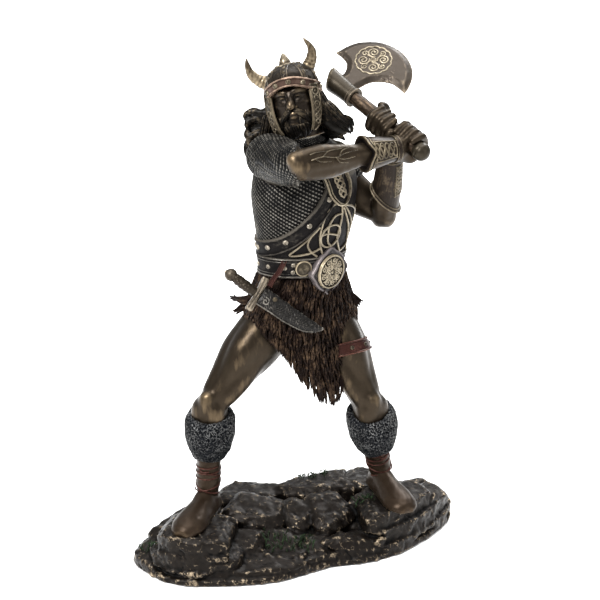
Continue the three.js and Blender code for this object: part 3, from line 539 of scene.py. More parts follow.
def patina(name, hollow, body, bright, reach=0.25, metallic=0.55, gloss=0.4, fleck=1.2, tint=None, grain=0.08,
           mottle=0.8, shine=0.15, streak=1.0, lines=0.0):
    """reach is the height in millimetres over which a raised part turns bright, and mottle how uneven that is.
    A streak below 1 draws the unevenness out upright, as brush strokes. lines breaks the bright parts into thin
    lines."""
    material = bpy.data.materials.new(name)
    material.use_nodes = True
    nodes, links = material.node_tree.nodes, material.node_tree.links
    shader = nodes["Principled BSDF"]
    shader.inputs["Metallic"].default_value = metallic
    shader.inputs["Specular IOR Level"].default_value = shine
    relief = nodes.new("ShaderNodeAttribute")
    relief.attribute_name = "relief"
    place = nodes.new("ShaderNodeTexCoord")
    stretch = nodes.new("ShaderNodeMapping")
    stretch.inputs["Scale"].default_value = (1, 1, streak)
    links.new(place.outputs["Object"], stretch.inputs["Vector"])

    def texture(size_mm, detail):
        node = nodes.new("ShaderNodeTexNoise")
        node.inputs["Scale"].default_value = 1 / (size_mm * MM)
        node.inputs["Detail"].default_value = detail
        node.inputs["Roughness"].default_value = 0.6
        links.new(stretch.outputs["Vector"], node.inputs["Vector"])
        return node.outputs["Fac"]

    def math_node(operation, *values, clamp=False):
        node = nodes.new("ShaderNodeMath")
        node.operation = operation
        node.use_clamp = clamp
        for socket, value in zip(node.inputs, values):
            if isinstance(value, (int, float)):
                socket.default_value = value
            else:
                links.new(value, socket)
        return node.outputs[0]

    def blend_node(factor, a, b):
        node = nodes.new("ShaderNodeMix")
        node.data_type = "RGBA"
        links.new(factor, node.inputs[0])
        for socket, value in ((node.inputs[6], a), (node.inputs[7], b)):
            if isinstance(value, tuple):
                socket.default_value = (*value, 1)
            else:
                links.new(value, socket)
        return node.outputs[2]

    patchy = texture(fleck * 6, 3)
    fine = texture(fleck, 4)
    relief_share = math_node("DIVIDE", relief.outputs["Fac"], reach)
    spread = math_node("MULTIPLY_ADD", patchy, mottle, -mottle / 2)
    fleck_part = math_node("MULTIPLY_ADD", fine, mottle * 0.8, -mottle * 0.4)
    wear_and_highlight = math_node("ADD", math_node("ADD", relief_share, spread), fleck_part)
    if lines:
        ridge = math_node("ABSOLUTE", math_node("ADD", texture(fleck * 0.8, 2), -0.5))
        ridge = math_node("MULTIPLY_ADD", ridge, -22, 1, clamp=True)
        wear_and_highlight = math_node("ADD", wear_and_highlight, math_node("MULTIPLY_ADD", ridge, lines, -lines * 0.72))
    up = math_node("MULTIPLY_ADD", wear_and_highlight, *WEAR_AND_HIGHLIGHT, clamp=True)
    down = math_node("MULTIPLY_ADD", relief_share, *HOLLOWED, clamp=True)
    ground = blend_node(patchy, body, tint if tint else tuple(c * 0.75 for c in body))
    colour = blend_node(down, blend_node(up, ground, bright), hollow)
    links.new(colour, shader.inputs["Base Color"])
    gloss_value = math_node("MULTIPLY_ADD", fine, 0.3, gloss - 0.15)
    links.new(math_node("MULTIPLY_ADD", down, 0.25, gloss_value, clamp=True), shader.inputs["Roughness"])
    bump = nodes.new("ShaderNodeBump")
    bump.inputs["Strength"].default_value = 0.5
    bump.inputs["Distance"].default_value = grain * MM
    links.new(texture(0.5, 3), bump.inputs["Height"])
    links.new(bump.outputs["Normal"], shader.inputs["Normal"])
    return material


# The skin's bright relief, as broad as the muscles, is partly rubbed bronze and partly a painted highlight where a
# sheen lies on the thighs, shins and forearms.
SKIN_WEAR_AND_HIGHLIGHT = patina("bronze_skin", (0.006, 0.005, 0.004), (0.034, 0.025, 0.016), (0.32, 0.23, 0.135), reach=2.6,
              gloss=0.38, fleck=2.4, tint=(0.022, 0.015, 0.009), mottle=0.5, shine=0.3, metallic=0.8, streak=0.22)
# The face: a darker copy of the skin's patina, whose dark body and hollows are painted shade over the face, and
# whose brighter raised nose, brows and cheeks are partly rubbed bronze and partly a painted highlight.
FACE_SHADE_AND_HIGHLIGHT = patina("bronze_face_painted_shade_and_highlight", (0.003, 0.003, 0.003), (0.018, 0.013, 0.009), (0.42, 0.31, 0.19), reach=0.6,
              gloss=0.33, fleck=3, mottle=0.35, shine=0.3, metallic=0.75)
MAIL = patina("mail", (0.001, 0.001, 0.001), (0.004, 0.004, 0.004), (0.32, 0.3, 0.26), reach=0.6, shine=0.1)
LEATHER = patina("dark_leather", (0.002, 0.002, 0.002), (0.008, 0.007, 0.007), (0.085, 0.075, 0.062), reach=0.5,
                 fleck=2, metallic=0.3, gloss=0.66, shine=0.06)
RED_LEATHER = patina("red_leather", (0.005, 0.002, 0.001), (0.034, 0.011, 0.008), (0.14, 0.06, 0.042), reach=0.9,
                     metallic=0.4)
BRASS = patina("pale_brass", (0.006, 0.005, 0.003), (0.07, 0.055, 0.036), (0.48, 0.41, 0.295), reach=0.65,
               gloss=0.34)
DARK_BRASS = patina("dark_brass", (0.004, 0.003, 0.002), (0.03, 0.024, 0.016), (0.3, 0.245, 0.165), reach=0.6,
                    gloss=0.36)
STUD = patina("stud", (0.01, 0.009, 0.008), (0.1, 0.085, 0.065), (0.34, 0.3, 0.24), reach=0.35, gloss=0.3)
PEWTER = patina("pewter", (0.003, 0.003, 0.003), (0.03, 0.028, 0.025), (0.36, 0.33, 0.285), reach=0.6,
                gloss=0.36)
COPPER = patina("copper_band", (0.008, 0.005, 0.004), (0.075, 0.045, 0.034), (0.34, 0.24, 0.175), reach=0.6,
                gloss=0.38)
FUR = patina("fur_brown", (0.001, 0.001, 0.001), (0.004, 0.003, 0.0025), (0.13, 0.083, 0.05), reach=3.1, gloss=0.5,
             tint=(0.012, 0.005, 0.003), mottle=1.3, shine=0.1, metallic=0.4)
FLEECE = patina("fleece", (0.001, 0.001, 0.0015), (0.005, 0.006, 0.008), (0.21, 0.21, 0.205), reach=0.85, gloss=0.5,
                shine=0.1)
HAIR = patina("hair", (0.001, 0.001, 0.001), (0.006, 0.005, 0.004), (0.24, 0.185, 0.12), reach=2.3, gloss=0.36)
HORN = patina("horn", (0.008, 0.006, 0.004), (0.06, 0.043, 0.026), (0.34, 0.27, 0.175), reach=0.6, gloss=0.36,
              fleck=3)
BOOT = patina("boot", (0.004, 0.003, 0.002), (0.028, 0.018, 0.011), (0.13, 0.088, 0.05), reach=1.9, fleck=3,
              mottle=0.3)
STEEL = patina("dark_steel", (0.002, 0.002, 0.002), (0.017, 0.016, 0.015), (0.2, 0.18, 0.155), reach=0.5,
               gloss=0.38)
HELMET_METAL = patina("helmet_metal", (0.003, 0.003, 0.002), (0.02, 0.016, 0.012), (0.22, 0.175, 0.12), reach=0.5)
AXE_METAL = patina("axe_metal", (0.008, 0.006, 0.005), (0.038, 0.03, 0.023), (0.24, 0.19, 0.135), reach=0.5,
                   gloss=0.36, fleck=5, mottle=0.5)
HAFT = patina("haft", (0.004, 0.003, 0.002), (0.03, 0.02, 0.013), (0.19, 0.13, 0.08), reach=0.4)
ROCK = patina("dark_rock", (0.001, 0.001, 0.001), (0.0115, 0.0088, 0.0068), (0.34, 0.265, 0.18), reach=0.75,
              metallic=0.5, gloss=0.36, fleck=5, tint=(0.0065, 0.005, 0.004), mottle=0.3, grain=0.3, lines=0.52)
GRASS = patina("grass", (0.002, 0.005, 0.002), (0.012, 0.024, 0.01), (0.09, 0.14, 0.065), reach=0.8, metallic=0.3)

# Torso: elliptical sections that turn from the hips to the chest, as height, centre x, centre y,
# half width, half depth and the way it faces, in degrees
TORSO = np.array([
    [126, 1, 0, 20, 16, 30],
    [140, 1, 0, 26, 20, 35],
    [152, 1.2, 0, 25, 19.5, 42],
    [162, 1.5, 0, 24.5, 19, 46],
    [176, 2.2, 0, 26.5, 20, 48],
    [192, 3, 0, 30.5, 22.5, 50],
    [207, 3.2, 0.5, 32.5, 24, 50],
    [219, 3, 1.5, 31, 22, 50],
    [227, 1.8, 1.5, 26, 17, 45],
    [233, 0, 0, 17.5, 13, 35],
    [240, -1, -2.5, 10.5, 10.5, 20],
])


def displaced(part, amount):
    """A part with its points moved along their normals by amount(points, normals)."""
    points, quads, tris = part
    normal = vertex_normals(points, quads, tris)
    return points + normal * amount(points, normal)[:, None], quads, tris


def joints(name, *parts):
    """Joint centres of the left or the right side."""
    return [JOINTS[f"{part}_{name}"] for part in parts]


def torso_section(z):
    """Centre x, centre y, half width, half depth and facing at heights z."""
    z = np.asarray(z, float)
    rows = np.vstack([TORSO[0], TORSO, TORSO[-1]])
    i = np.clip(np.searchsorted(TORSO[:, 0], z, side="right") - 1, 0, len(TORSO) - 2)
    t = np.clip((z - TORSO[i, 0]) / (TORSO[i + 1, 0] - TORSO[i, 0]), 0, 1)[..., None]
    return np.moveaxis(cubic(*(rows[i + k, 1:] for k in range(4)), t), -1, 0)


def on_torso(angle, z, lift=0.0):
    """Points on the torso at angles from its front, towards the warrior's left, and heights."""
    angle, z, lift = np.broadcast_arrays(np.asarray(angle, float), np.asarray(z, float), lift)
    x, y, wide, deep, facing = torso_section(z)
    a, f = np.radians(angle), np.radians(facing)
    side, ahead = (wide + lift) * np.sin(a), (deep + lift) * np.cos(a)
    return np.stack([
        x + side * np.cos(f) + ahead * np.sin(f),
        y + side * np.sin(f) - ahead * np.cos(f),
        z,
    ], -1)


def torso_normal(angle, z):
    across = on_torso(np.asarray(angle) + 2.0, z) - on_torso(np.asarray(angle) - 2.0, z)
    up = on_torso(angle, np.asarray(z) + 1.0) - on_torso(angle, np.asarray(z) - 1.0)
    return unit(np.cross(across, up))


# Mail: sloping rows of small dashes. around and along are how many rows and dashes meet one turn of the surface.
MAIL_ROWS = {"pitch": 1.85, "step": 1.8, "high": 0.62, "parted": 0.66}
# Meshes of the shirt, the sleeves and the yokes. mail is the rows and dashes round them, and the rows' slope.
SHIRT = {"low": 167, "high": 239, "row": 0.54, "columns": 350, "mail": (46, 84, 30)}
SLEEVE_MESH = {"columns": 172, "row": 0.45, "mail": (7, 36, 9)}
YOKE_MESH = {"rows": 34, "columns": 110, "mail": (6, 30, 9)}


def mail_relief(turns, v, around, along, slope):
    """Height of the mail at shares of a turn and distances v up the surface."""
    slope = math.radians(slope)
    across = around * turns + v * math.cos(slope) / MAIL_ROWS["pitch"]
    row = np.floor(across)
    x = across - row - 0.5
    y = along * turns - v * math.sin(slope) / MAIL_ROWS["step"] + 0.5 * (row % 2)
    y = y - np.round(y)
    ridge = np.clip(1 - (x / 0.33) ** 2, 0, 1) ** 0.6
    dash = np.clip(1 - np.abs(y / 0.44) ** 2.4, 0, 1) ** 0.5
    return MAIL_ROWS["high"] * ridge * mix(1, dash, MAIL_ROWS["parted"])


def mail_patch(points, lengths, around, along, slope):
    """A tube of mail over a grid of points that lie at the given lengths along it."""
    turns = np.arange(points.shape[1]) / points.shape[1]
    height = mail_relief(turns, lengths, around, along, slope)
    normal = grid_normals(points)
    centre = points.mean(1, keepdims=True)
    outward = np.sign(np.sum(normal * (points - centre), (1, 2)))[:, None, None]
    return patch(points + normal * outward * height[..., None], closed_v=True, caps=True)


def tube_points(centres, wides, deeps, front, rows, sides):
    """A grid of points round a tube through stations with elliptical sections."""
    steps, t = np.linspace(0, 1, len(wides)), np.linspace(0, 1, rows)
    centre = catmull(centres, rows)
    side, top = axes_across(centre, front)
    return swept(centre, side, top, circle(sides), np.interp(t, steps, wides), np.interp(t, steps, deeps))


# Mail sleeves. Each station is a share of the way to the elbow, half width, half height and turn to the forearm.
SLEEVES = {
    "right": {"radius": 11.8, "raise": 3.2, "neck": (-4, -3, 233), "stations": [
        (0, 11.8, 11.8, 0), (0.1, 11.9, 11.9, 0), (0.2, 11.9, 11.9, 0), (0.35, 11.7, 11.7, 3),
        (0.5, 11.6, 11.5, 10), (0.62, 12.1, 11.1, 22), (0.72, 13.2, 10.8, 42), (0.79, 14.6, 10.5, 60),
        (0.8, 13.2, 9.0, 60)]},
    "left": {"radius": 12.4, "raise": 0.0, "neck": (4, 3, 232), "stations": [
        (0, 12.4, 12.8, 0), (0.1, 12.5, 12.9, 0), (0.2, 12.3, 12.5, 0), (0.3, 11.6, 11.7, 0),
        (0.31, 10.0, 10.2, 0)]},
}
# How far the upper arms hang below the line from shoulder to elbow
ARM_SAG = {"right": 0.0, "left": 4.0}


def sagged(name, share):
    share = np.clip(np.asarray(share, float), 0, 1)
    return -ARM_SAG[name] * np.sin(math.pi * share)[..., None] * UP


def sleeve(name):
    """The mail sleeve and the slope to the neck, and the ring of its hem."""
    spec = SLEEVES[name]
    shoulder, elbow, wrist = joints(name, "shoulder", "elbow", "wrist")
    length = np.linalg.norm(elbow - shoulder)
    radius = spec["radius"]
    dome = [(-radius * math.sin(a) / length, radius * math.cos(a), radius * math.cos(a), 0)
            for a in np.radians((88, 70, 52, 35, 17))]
    stations = np.array(dome + spec["stations"])
    rows = int(length * (stations[-1, 0] - stations[0, 0]) / SLEEVE_MESH["row"])
    share, wide, high, turn = catmull(stations, rows).T
    centre = mix(shoulder, elbow, share[:, None]) + sagged(name, share)
    centre[:, 2] += spec["raise"] * smooth_step(share, 0.7, 0.0)
    tangent = unit(elbow - shoulder)
    side = unit(np.cross(tangent, UP))
    top = np.cross(side, tangent)
    turn = np.radians(turn)[:, None] * np.sign(np.dot(side, wrist - elbow))
    side = side * np.cos(turn) - tangent * np.sin(turn)
    points = swept(centre, side, top, circle(SLEEVE_MESH["columns"]), wide, high)
    steps = np.linalg.norm(np.diff(points, axis=0), axis=-1)
    lengths = np.vstack([0 * steps[:1], np.cumsum(steps, axis=0)])
    sleeve_part = mail_patch(points, lengths, *SLEEVE_MESH["mail"])

    rows, columns = YOKE_MESH["rows"], YOKE_MESH["columns"]
    radii = np.linspace(9.3, radius - 1.2, rows)
    slope = tube_points(np.linspace(spec["neck"], shoulder, rows), radii, radii, UP, rows, columns)
    yoke = mail_patch(slope, np.linspace(0, 20, rows)[:, None], *YOKE_MESH["mail"])
    return [sleeve_part, yoke], points[np.argmax(share > spec["stations"][-2][0] - 0.005)]


def make_mail():
    z = np.arange(SHIRT["low"], SHIRT["high"], SHIRT["row"])[:, None]
    angle = np.degrees(full_turn(SHIRT["columns"]))
    piece("mail_shirt", mail_patch(on_torso(angle, z), z, *SHIRT["mail"]), MAIL, rounds=3)
    sleeves, hems = zip(sleeve("right"), sleeve("left"))
    piece("mail_sleeves", sleeves[0] + sleeves[1], MAIL, rounds=2)
    hems = [cord(ring, 0.5, 6, closed=True) for ring in hems]
    a = full_turn(120)
    hems.append(cord(on_torso(np.degrees(a), 234.5 - 1.5 * np.cos(a), 0.4), 1.1, 10, closed=True))
    piece("mail_hems", hems, LEATHER, rounds=1)


make_mail()

# Skin: legs, arms and hands, modelled as bones with muscles over them

LEGS = {"right": {"front": (-0.35, -0.93, 0.1), "out": -1}, "left": {"front": (0.5, -0.86, 0.1), "out": 1}}

# Muscles of a limb: shares of its length, and at each share how far ahead, how far out, and the radius
THIGH_MUSCLES = [
    [(-0.05, -1, 0, 14), (0.3, 0, 0, 13), (0.6, 0, 0, 9.6), (1.0, 0, 0, 6.6)],
    [(0.0, 5, 1, 8), (0.4, 7.6, 1, 8.2), (0.75, 4.8, 0, 5), (0.95, 4.5, 0, 3)],
    [(0.1, 1, 6, 7), (0.45, 2, 6.6, 7), (0.75, 2.6, 4.6, 4.6), (0.93, 2.4, 4, 2.6)],
    [(0.3, 3, -4, 6), (0.62, 3.4, -5.4, 5.8), (0.84, 3, -5, 4.4), (0.97, 2, -4, 2.6)],
    [(-0.02, -3, -5, 9), (0.35, -3.4, -5.6, 7.4), (0.7, -3, -4, 4)],
    [(0.1, -6.4, 2, 8), (0.45, -6.6, 2, 7.2), (0.8, -4.6, 3, 4), (1.04, -3.6, 4, 2.2)],
    [(0.3, -6, -2, 6.6), (0.7, -5, -3, 4.6), (1.02, -3.6, -4, 2.2)],
]
KNEE_FORMS = [
    [(-0.12, 4.4, 0, 3.0), (0.06, 4.4, 0, 3.0)],
    [(0.02, 2, 3.4, 5), (0.16, 2, 3, 4.6)],
    [(0.02, 2, -3.4, 5), (0.16, 2, -3, 4.6)],
    [(0.12, 5.4, 0, 2.2), (0.34, 5.4, 0, 2)],
    [(0.08, -2, 2.6, 5), (0.4, -4, 2.6, 6)],
    [(0.08, -2, -2.6, 5), (0.4, -4, -2.6, 6)],
]


def add_muscles(clay, a, b, front, muscles, out=1, blend=2.6, steps=9, scale=1.0, sag=0.0):
    """Muscles along a limb from a to b. out is the x direction of its outer side."""
    tangent = unit(b - a)
    side = unit(np.cross(tangent, front))
    side = side * np.sign(side[0] * out)
    ahead = unit(front - tangent * np.dot(front, tangent))
    for muscle in muscles:
        points = [mix(a, b, t) + (ahead * f + side * o) * scale - UP * sag * math.sin(math.pi * min(max(t, 0), 1))
                  for t, f, o, _ in muscle]
        clay.chain(points, [m[3] * scale for m in muscle], blend, steps)


def leg_skin(name):
    hip, knee, ankle = joints(name, "hip", "knee", "ankle")
    front, out = np.array(LEGS[name]["front"]), LEGS[name]["out"]
    ends = np.array([hip, knee, mix(knee, ankle, 0.5)])
    lo, hi = ends.min(0) - 22, ends.max(0) + 22
    lo[2] = mix(knee, ankle, 0.42)[2]
    clay = Clay(lo, hi, 1.1)
    add_muscles(clay, hip, knee, front, THIGH_MUSCLES, out, steps=18)
    add_muscles(clay, knee, ankle, front, KNEE_FORMS, out, blend=3.2)
    clay.cone(knee, ends[2], 7, 6.4)
    return clay.mesh()


# Directions that the muscles' fronts face, and scales of the upper arm and the forearm
ARMS = {
    "right": {"front": (0, 0, 1), "fore_front": (0, 0, 1), "upper_scale": 0.95, "fore_scale": 0.95},
    "left": {"front": (0.3, -0.2, 1), "fore_front": (-1, -0.3, 0), "upper_scale": 0.84, "fore_scale": 0.8},
}
FOREARM_MUSCLES = [
    [(-0.04, 0, 0, 7.0), (0.3, 0, 0, 6.6), (0.7, 0, 0, 5.8), (1.0, 0, 0, 5.4)],
    [(-0.1, 3.4, 1, 4.6), (0.16, 4.4, 1.6, 5.2), (0.45, 3.2, 1, 4)],
    [(-0.02, -2.6, 1.6, 5.6), (0.25, -3.6, 1.4, 5.4), (0.6, -1.6, 0.6, 4)],
    [(0.0, 0.4, 4, 4.4), (0.3, 0.6, 3.6, 4.2), (0.6, 0.4, 1.6, 3.4)],
]
UPPER_ARM_MUSCLES = [
    [(0.1, 0, 0, 9.4), (0.3, 0, 0, 9.2), (0.7, 0, 0, 7.8), (1.0, 0, 0, 6.6)],
    [(0.15, 3.6, 0, 7), (0.5, 5, 0, 6.8), (0.85, 2.6, 0, 3.6)],
    [(0.1, -4, 0, 7), (0.5, -4.6, 0, 6.4), (0.95, -2.4, 0, 3.6)],
    [(0.1, 1, 2, 8.0), (0.2, 1, 2.6, 8.0), (0.45, 0, 2.4, 4)],
]


def arm_skin(name):
    spec = ARMS[name]
    ends = joints(name, "shoulder", "elbow", "wrist")
    shoulder, elbow, wrist = ends
    clay = Clay(np.min(ends, 0) - 17, np.max(ends, 0) + 17, 0.9)
    add_muscles(clay, shoulder, elbow, np.array(spec["front"]), UPPER_ARM_MUSCLES,
                scale=spec["upper_scale"], sag=ARM_SAG[name])
    add_muscles(clay, elbow, wrist, np.array(spec["fore_front"]), FOREARM_MUSCLES,
                blend=1.0, scale=spec["fore_scale"])
    bend = unit(2 * elbow - shoulder - wrist)
    clay.egg(elbow + bend * 3.5, (4.6, 4.6, 4.6), blend=3)
    clay.egg(elbow + bend * 6.2, (2.4, 2.4, 2.4), blend=2.4)
    return clay.mesh()


# Paths of the veins on the right forearm, as share of the way from elbow to wrist, and angle round it
VEINS = [
    [(0.0, 26), (0.12, 30), (0.26, 22), (0.36, 30), (0.5, 34)],
    [(0.12, 30), (0.2, 46), (0.34, 50), (0.4, 62)],
    [(0.26, 22), (0.3, 4), (0.38, -2)],
    [(0.26, 22), (0.34, 12), (0.46, 14)],
    [(0.0, 44), (0.08, 48), (0.2, 46)],
    [(0.3, 26), (0.34, 42), (0.44, 50)],
    [(0.04, 28), (0.1, 16), (0.2, 12)],
]

# The axe lies along a line through both fists. Grips are distances from its butt.
AXE = {"butt": np.array((62.7, -34, 236.3)), "along": unit((-0.653, 0.636, 0.411)),
       "blade": (0.754, 0.491, 0.437), "haft": 3.9, "pommel": 5.0, "grips": {"right": 10, "left": 26.5}}
AXE_BLADE = unit(AXE["blade"] - AXE["along"] * np.dot(AXE["blade"], AXE["along"]))
AXE_FRAME = frame_at(AXE["butt"], AXE["along"], np.cross(AXE["along"], AXE_BLADE))


def around_haft(s, angle, radius):
    """The point at a distance along the haft, at an angle round it from the blade, and a distance out."""
    a = math.radians(angle)
    across = np.cross(AXE_BLADE, AXE["along"])
    return AXE["butt"] + AXE["along"] * s + (AXE_BLADE * math.cos(a) + across * math.sin(a)) * radius


# Angle round the haft at which each palm lies, in degrees, and the way its fingers curl
HANDS = {"right": {"palm": 250, "way": 1}, "left": {"palm": 290, "way": -1}}
# Share of a finger's curl, distance of its middle from the haft's axis, and its radius
FINGER = [(0, 6.8, 2.5), (0.12, 6.9, 2.45), (0.3, 6.6, 2.2), (0.42, 6.5, 2.35), (0.6, 6.1, 2.0), (0.72, 6.0, 2.1),
          (1.0, 5.6, 1.75)]
# How far each finger curls round the haft, in degrees, and their distance apart
FINGER_REACHES = (205, 232, 236, 222)
FINGER_PITCH = 3.75
# Distance along the haft, turn back round it, distance from its axis, and radius
THUMB = [(3, 12, 7.2, 3.4), (6, 40, 6.8, 2.7), (7.4, 78, 6.2, 2.35), (8, 112, 5.8, 1.9)]


def hand_skin(name):
    spec = HANDS[name]
    palm, way = spec["palm"], spec["way"]
    grip, (wrist,) = AXE["grips"][name], joints(name, "wrist")
    middle = around_haft(grip, 0, 0)
    clay = Clay(np.minimum(middle - 15, wrist - 9), np.maximum(middle + 15, wrist + 9), 0.6)
    for f, reach in enumerate(FINGER_REACHES):
        s = grip + (f - 1.5) * FINGER_PITCH
        points = [around_haft(s, palm + way * (8 + share * reach), out) for share, out, _ in FINGER]
        clay.chain(points, [r for _, _, r in FINGER], 0.5, 18)
        knuckle = around_haft(s, palm + way * 14, 8.0)
        clay.egg(knuckle, (2.1, 2.1, 2.1), blend=1.0)
        clay.cone(knuckle, mix(around_haft(grip, palm, 9), wrist, 0.55), 1.2, 0.9, 1.4)
    ball = around_haft(grip, palm - way * 4, 7.2)
    for shift in (-4.4, -1.4, 1.6, 4.6):
        clay.cone(ball + AXE["along"] * shift, wrist, 3.6, 4.6, 1.6)
    clay.cone(ball, wrist, 5, 5.6)
    thumb = [around_haft(grip + s, palm - way * turn, out) for s, turn, out, _ in THUMB]
    clay.chain(thumb, [r for *_, r in THUMB], 1.0, 14)
    hole = AXE["haft"] + 0.1
    clay.cone(around_haft(-12, 0, 0), around_haft(60, 0, 0), hole, hole, 0.2, cut=True)
    return clay.mesh()


# Head, in its own frame: x to the left, -y ahead, z up, origin in the middle of the skull
HEAD = Matrix.Translation(JOINTS["skull"].tolist()) @ turned(-8, "Z") @ turned(-14, "Y") @ turned(-8, "X")
HEAD = np.array(HEAD)


def in_head(points):
    return np.asarray(points, float) @ HEAD[:3, :3].T + HEAD[:3, 3]


def in_head_way(v):
    """A direction in the head's frame, at unit length."""
    return unit(v) @ HEAD[:3, :3].T


def face_skin():
    clay = Clay((-14, -19, -22), (14, 15, 10), 0.45)
    clay.egg((0, 0.5, 0.5), (11.4, 12.6, 12), blend=1)
    clay.egg((0, -3.6, -4.6), (9.2, 9.2, 11.4), blend=4)
    for side in (-1, 1):
        cheekbone = (side * 6, -8.4, -3.4)
        brow = [(side * 7.6, -8, 2), (side * 4.2, -11.2, 2.9), (side * 1, -11.9, 2.2)]
        clay.egg(cheekbone, (3, 2.6, 2.1), blend=2.4)
        clay.chain(brow, [1.3, 1.5, 1.1], 1.6)
        clay.egg((side * 4.2, -12.6, -0.6), (2.7, 2.2, 1.7), blend=1.4, cut=True)
        clay.egg((side * 4.1, -9.3, -0.5), (2.4, 2.4, 2.3), blend=0.3)
        upper_lid = [(side * 1.9, -11.2, -0.7), (side * 4.1, -12.0, 0.75), (side * 6.4, -10.2, -0.5)]
        lower_lid = [(side * 1.9, -11.2, -0.8), (side * 4.1, -11.6, -1.9), (side * 6.4, -10.2, -0.7)]
        clay.chain(upper_lid, [0.5, 0.6, 0.45], 0.5)
        clay.chain(lower_lid, [0.4, 0.42, 0.4], 0.5)
        nostril, jowl = (side * 1.9, -13.0, -5.0), (side * 6.6, -6.4, -8.6)
        clay.egg(nostril, (1.25, 1.5, 1.15), blend=0.9)
        clay.egg(jowl, (3, 3, 3.4), blend=3)
    nose_bridge = [(0, -11.6, 1.8), (0, -13.3, -1.4), (0, -15.0, -4.2)]
    upper_lip = [(-3, -11.8, -8.9), (0, -13.3, -8.3), (3, -11.8, -8.9)]
    lower_lip = [(-2.6, -11.7, -9.9), (0, -13.1, -10.1), (2.6, -11.7, -9.9)]
    clay.chain(nose_bridge, [1.15, 1.2, 1.6], 1.4)
    clay.egg((0, -15.0, -4.5), (1.75, 1.6, 1.4), blend=0.8)
    clay.chain(upper_lip, [0.6, 0.85, 0.6], 0.9)
    clay.chain(lower_lip, [0.6, 1.0, 0.6], 0.9)
    clay.egg((0, -10.6, -13.4), (3.8, 3, 2.8), blend=2)
    clay.cone((0, 2.5, -6), (0.5, 4, -24), 9.2, 10.4, 3)
    return moved(clay.mesh(), HEAD)


def pores(points, normal):
    return 0.05 * rough(points, 2.4, 2, 5)


def make_skin():
    for name, build in (("legs", leg_skin), ("arms", arm_skin)):
        parts = [displaced(build(side), pores) for side in ("right", "left")]
        # rounds=14 takes in relief as broad as the muscles, so the skin's bright parts follow them: rubbed bronze
        # and a painted highlight
        piece(name, parts, SKIN_WEAR_AND_HIGHLIGHT, rounds=14)
    piece("veins", veins(), DARK_BRASS, rounds=4)
    piece("hands", [hand_skin("right"), hand_skin("left")], SKIN_WEAR_AND_HIGHLIGHT, rounds=7)
    piece("face", face_skin(), FACE_SHADE_AND_HIGHLIGHT, rounds=7)


def veins():
    """Raised veins on the outer side of the right forearm."""
    elbow, wrist = joints("right", "elbow", "wrist")
    ahead = unit(np.cross(wrist - elbow, UP))
    parts = []
    for path in VEINS:
        t, turn = np.array(path).T[:, :, None]
        out = ahead * np.cos(np.radians(turn)) + UP * np.sin(np.radians(turn))
        points = mix(elbow, wrist, t) + out * (9.4 - 1.5 * t)
        parts.append(cord(catmull(points, 24), np.linspace(0.3, 0.16, 24), 6))
    return parts


make_skin()

# Fleece cuffs below the knees
# Share of the way from knee to ankle, and radius
FLEECE_PROFILE = [(0.20, 7.4), (0.12, 9.4), (0.105, 11.4), (0.15, 12.9), (0.25, 13.4), (0.35, 13.2), (0.44, 12.4),
                  (0.53, 11.0), (0.6, 9.6), (0.64, 8.0), (0.63, 6.2)]
# How long each cuff is, as a share of its profile
FLEECE_REACH = {"right": 0.86, "left": 1.0}


def leg_axes(name, a, b):
    """The way from a to b down a leg, to its side and ahead."""
    tangent = unit(b - a)
    side = unit(np.cross(LEGS[name]["front"], tangent))
    return tangent, side, np.cross(tangent, side)


def make_fleece():
    parts = []
    for name in LEGS:
        knee, ankle = joints(name, "knee", "ankle")
        tangent, side, ahead = leg_axes(name, knee, ankle)
        share, radius = catmull(FLEECE_PROFILE, 72).T
        share = 0.12 + (share - 0.12) * FLEECE_REACH[name]
        ring = circle(168)
        points = swept(knee + (ankle - knee) * share[:, None], side, ahead, ring, radius, radius)
        tip = 1.6 * smooth_step(share, 0.45, 0.1)
        parts.append(displaced(tube(points + tangent * (ring[:, 1:] * tip[:, None, None])), wool))
    piece("fleece_cuffs", parts, FLEECE, rounds=3)


def wavered(points, size, seed, reach):
    """Points moved at random, by noise of the given size."""
    return points + reach * np.stack([noise(points, size, seed + k) for k in range(3)], -1)


def wool(points, normal):
    near, second = cells(wavered(points, 1.6, 3, 0.9), 1.15, 7)
    return 1.35 * smooth_step(second - near, 0.0, 0.5) - 0.9 + 0.5 * noise(points, 4, 8)


make_fleece()

# Boots with red thongs wound round the ankles
# Distance ahead of the heel, half width and height
FOOT = [(-8.8, 0.6, 3), (-8, 3.6, 7), (-6, 5.6, 10.5), (0, 6.6, 14.8), (5, 6.8, 15.2), (10, 7.4, 12.6),
        (16, 8.4, 10.8), (24, 9.3, 9), (30, 8.4, 7.4), (34, 6.0, 5.4), (35.8, 3.2, 3.2)]
FOOT_SECTION = [(-0.86, 0), (-1, 0.12), (-1.0, 0.3), (-0.9, 0.55), (-0.62, 0.82), (-0.3, 0.95), (0, 1.0),
                (0.3, 0.95), (0.62, 0.82), (0.9, 0.55), (1.0, 0.3), (1, 0.12), (0.86, 0)]
# Shares of the way from knee to ankle, with the shaft's half widths and half depths there
BOOT_SHAFT = {"shares": (0.48, 0.7, 0.9, 1.08), "wide": [6.8, 6.5, 6.6, 5.2], "deep": [7.2, 6.9, 7.4, 6.0]}
# Start and end of each thong as shares of the way from knee to ankle, its turns and the angle it starts at
THONGS = ((0.66, 0.82, 2.6, 0.3), (0.7, 0.97, -1.3, 2.0), (0.7, 0.97, 1.3, 1.1))


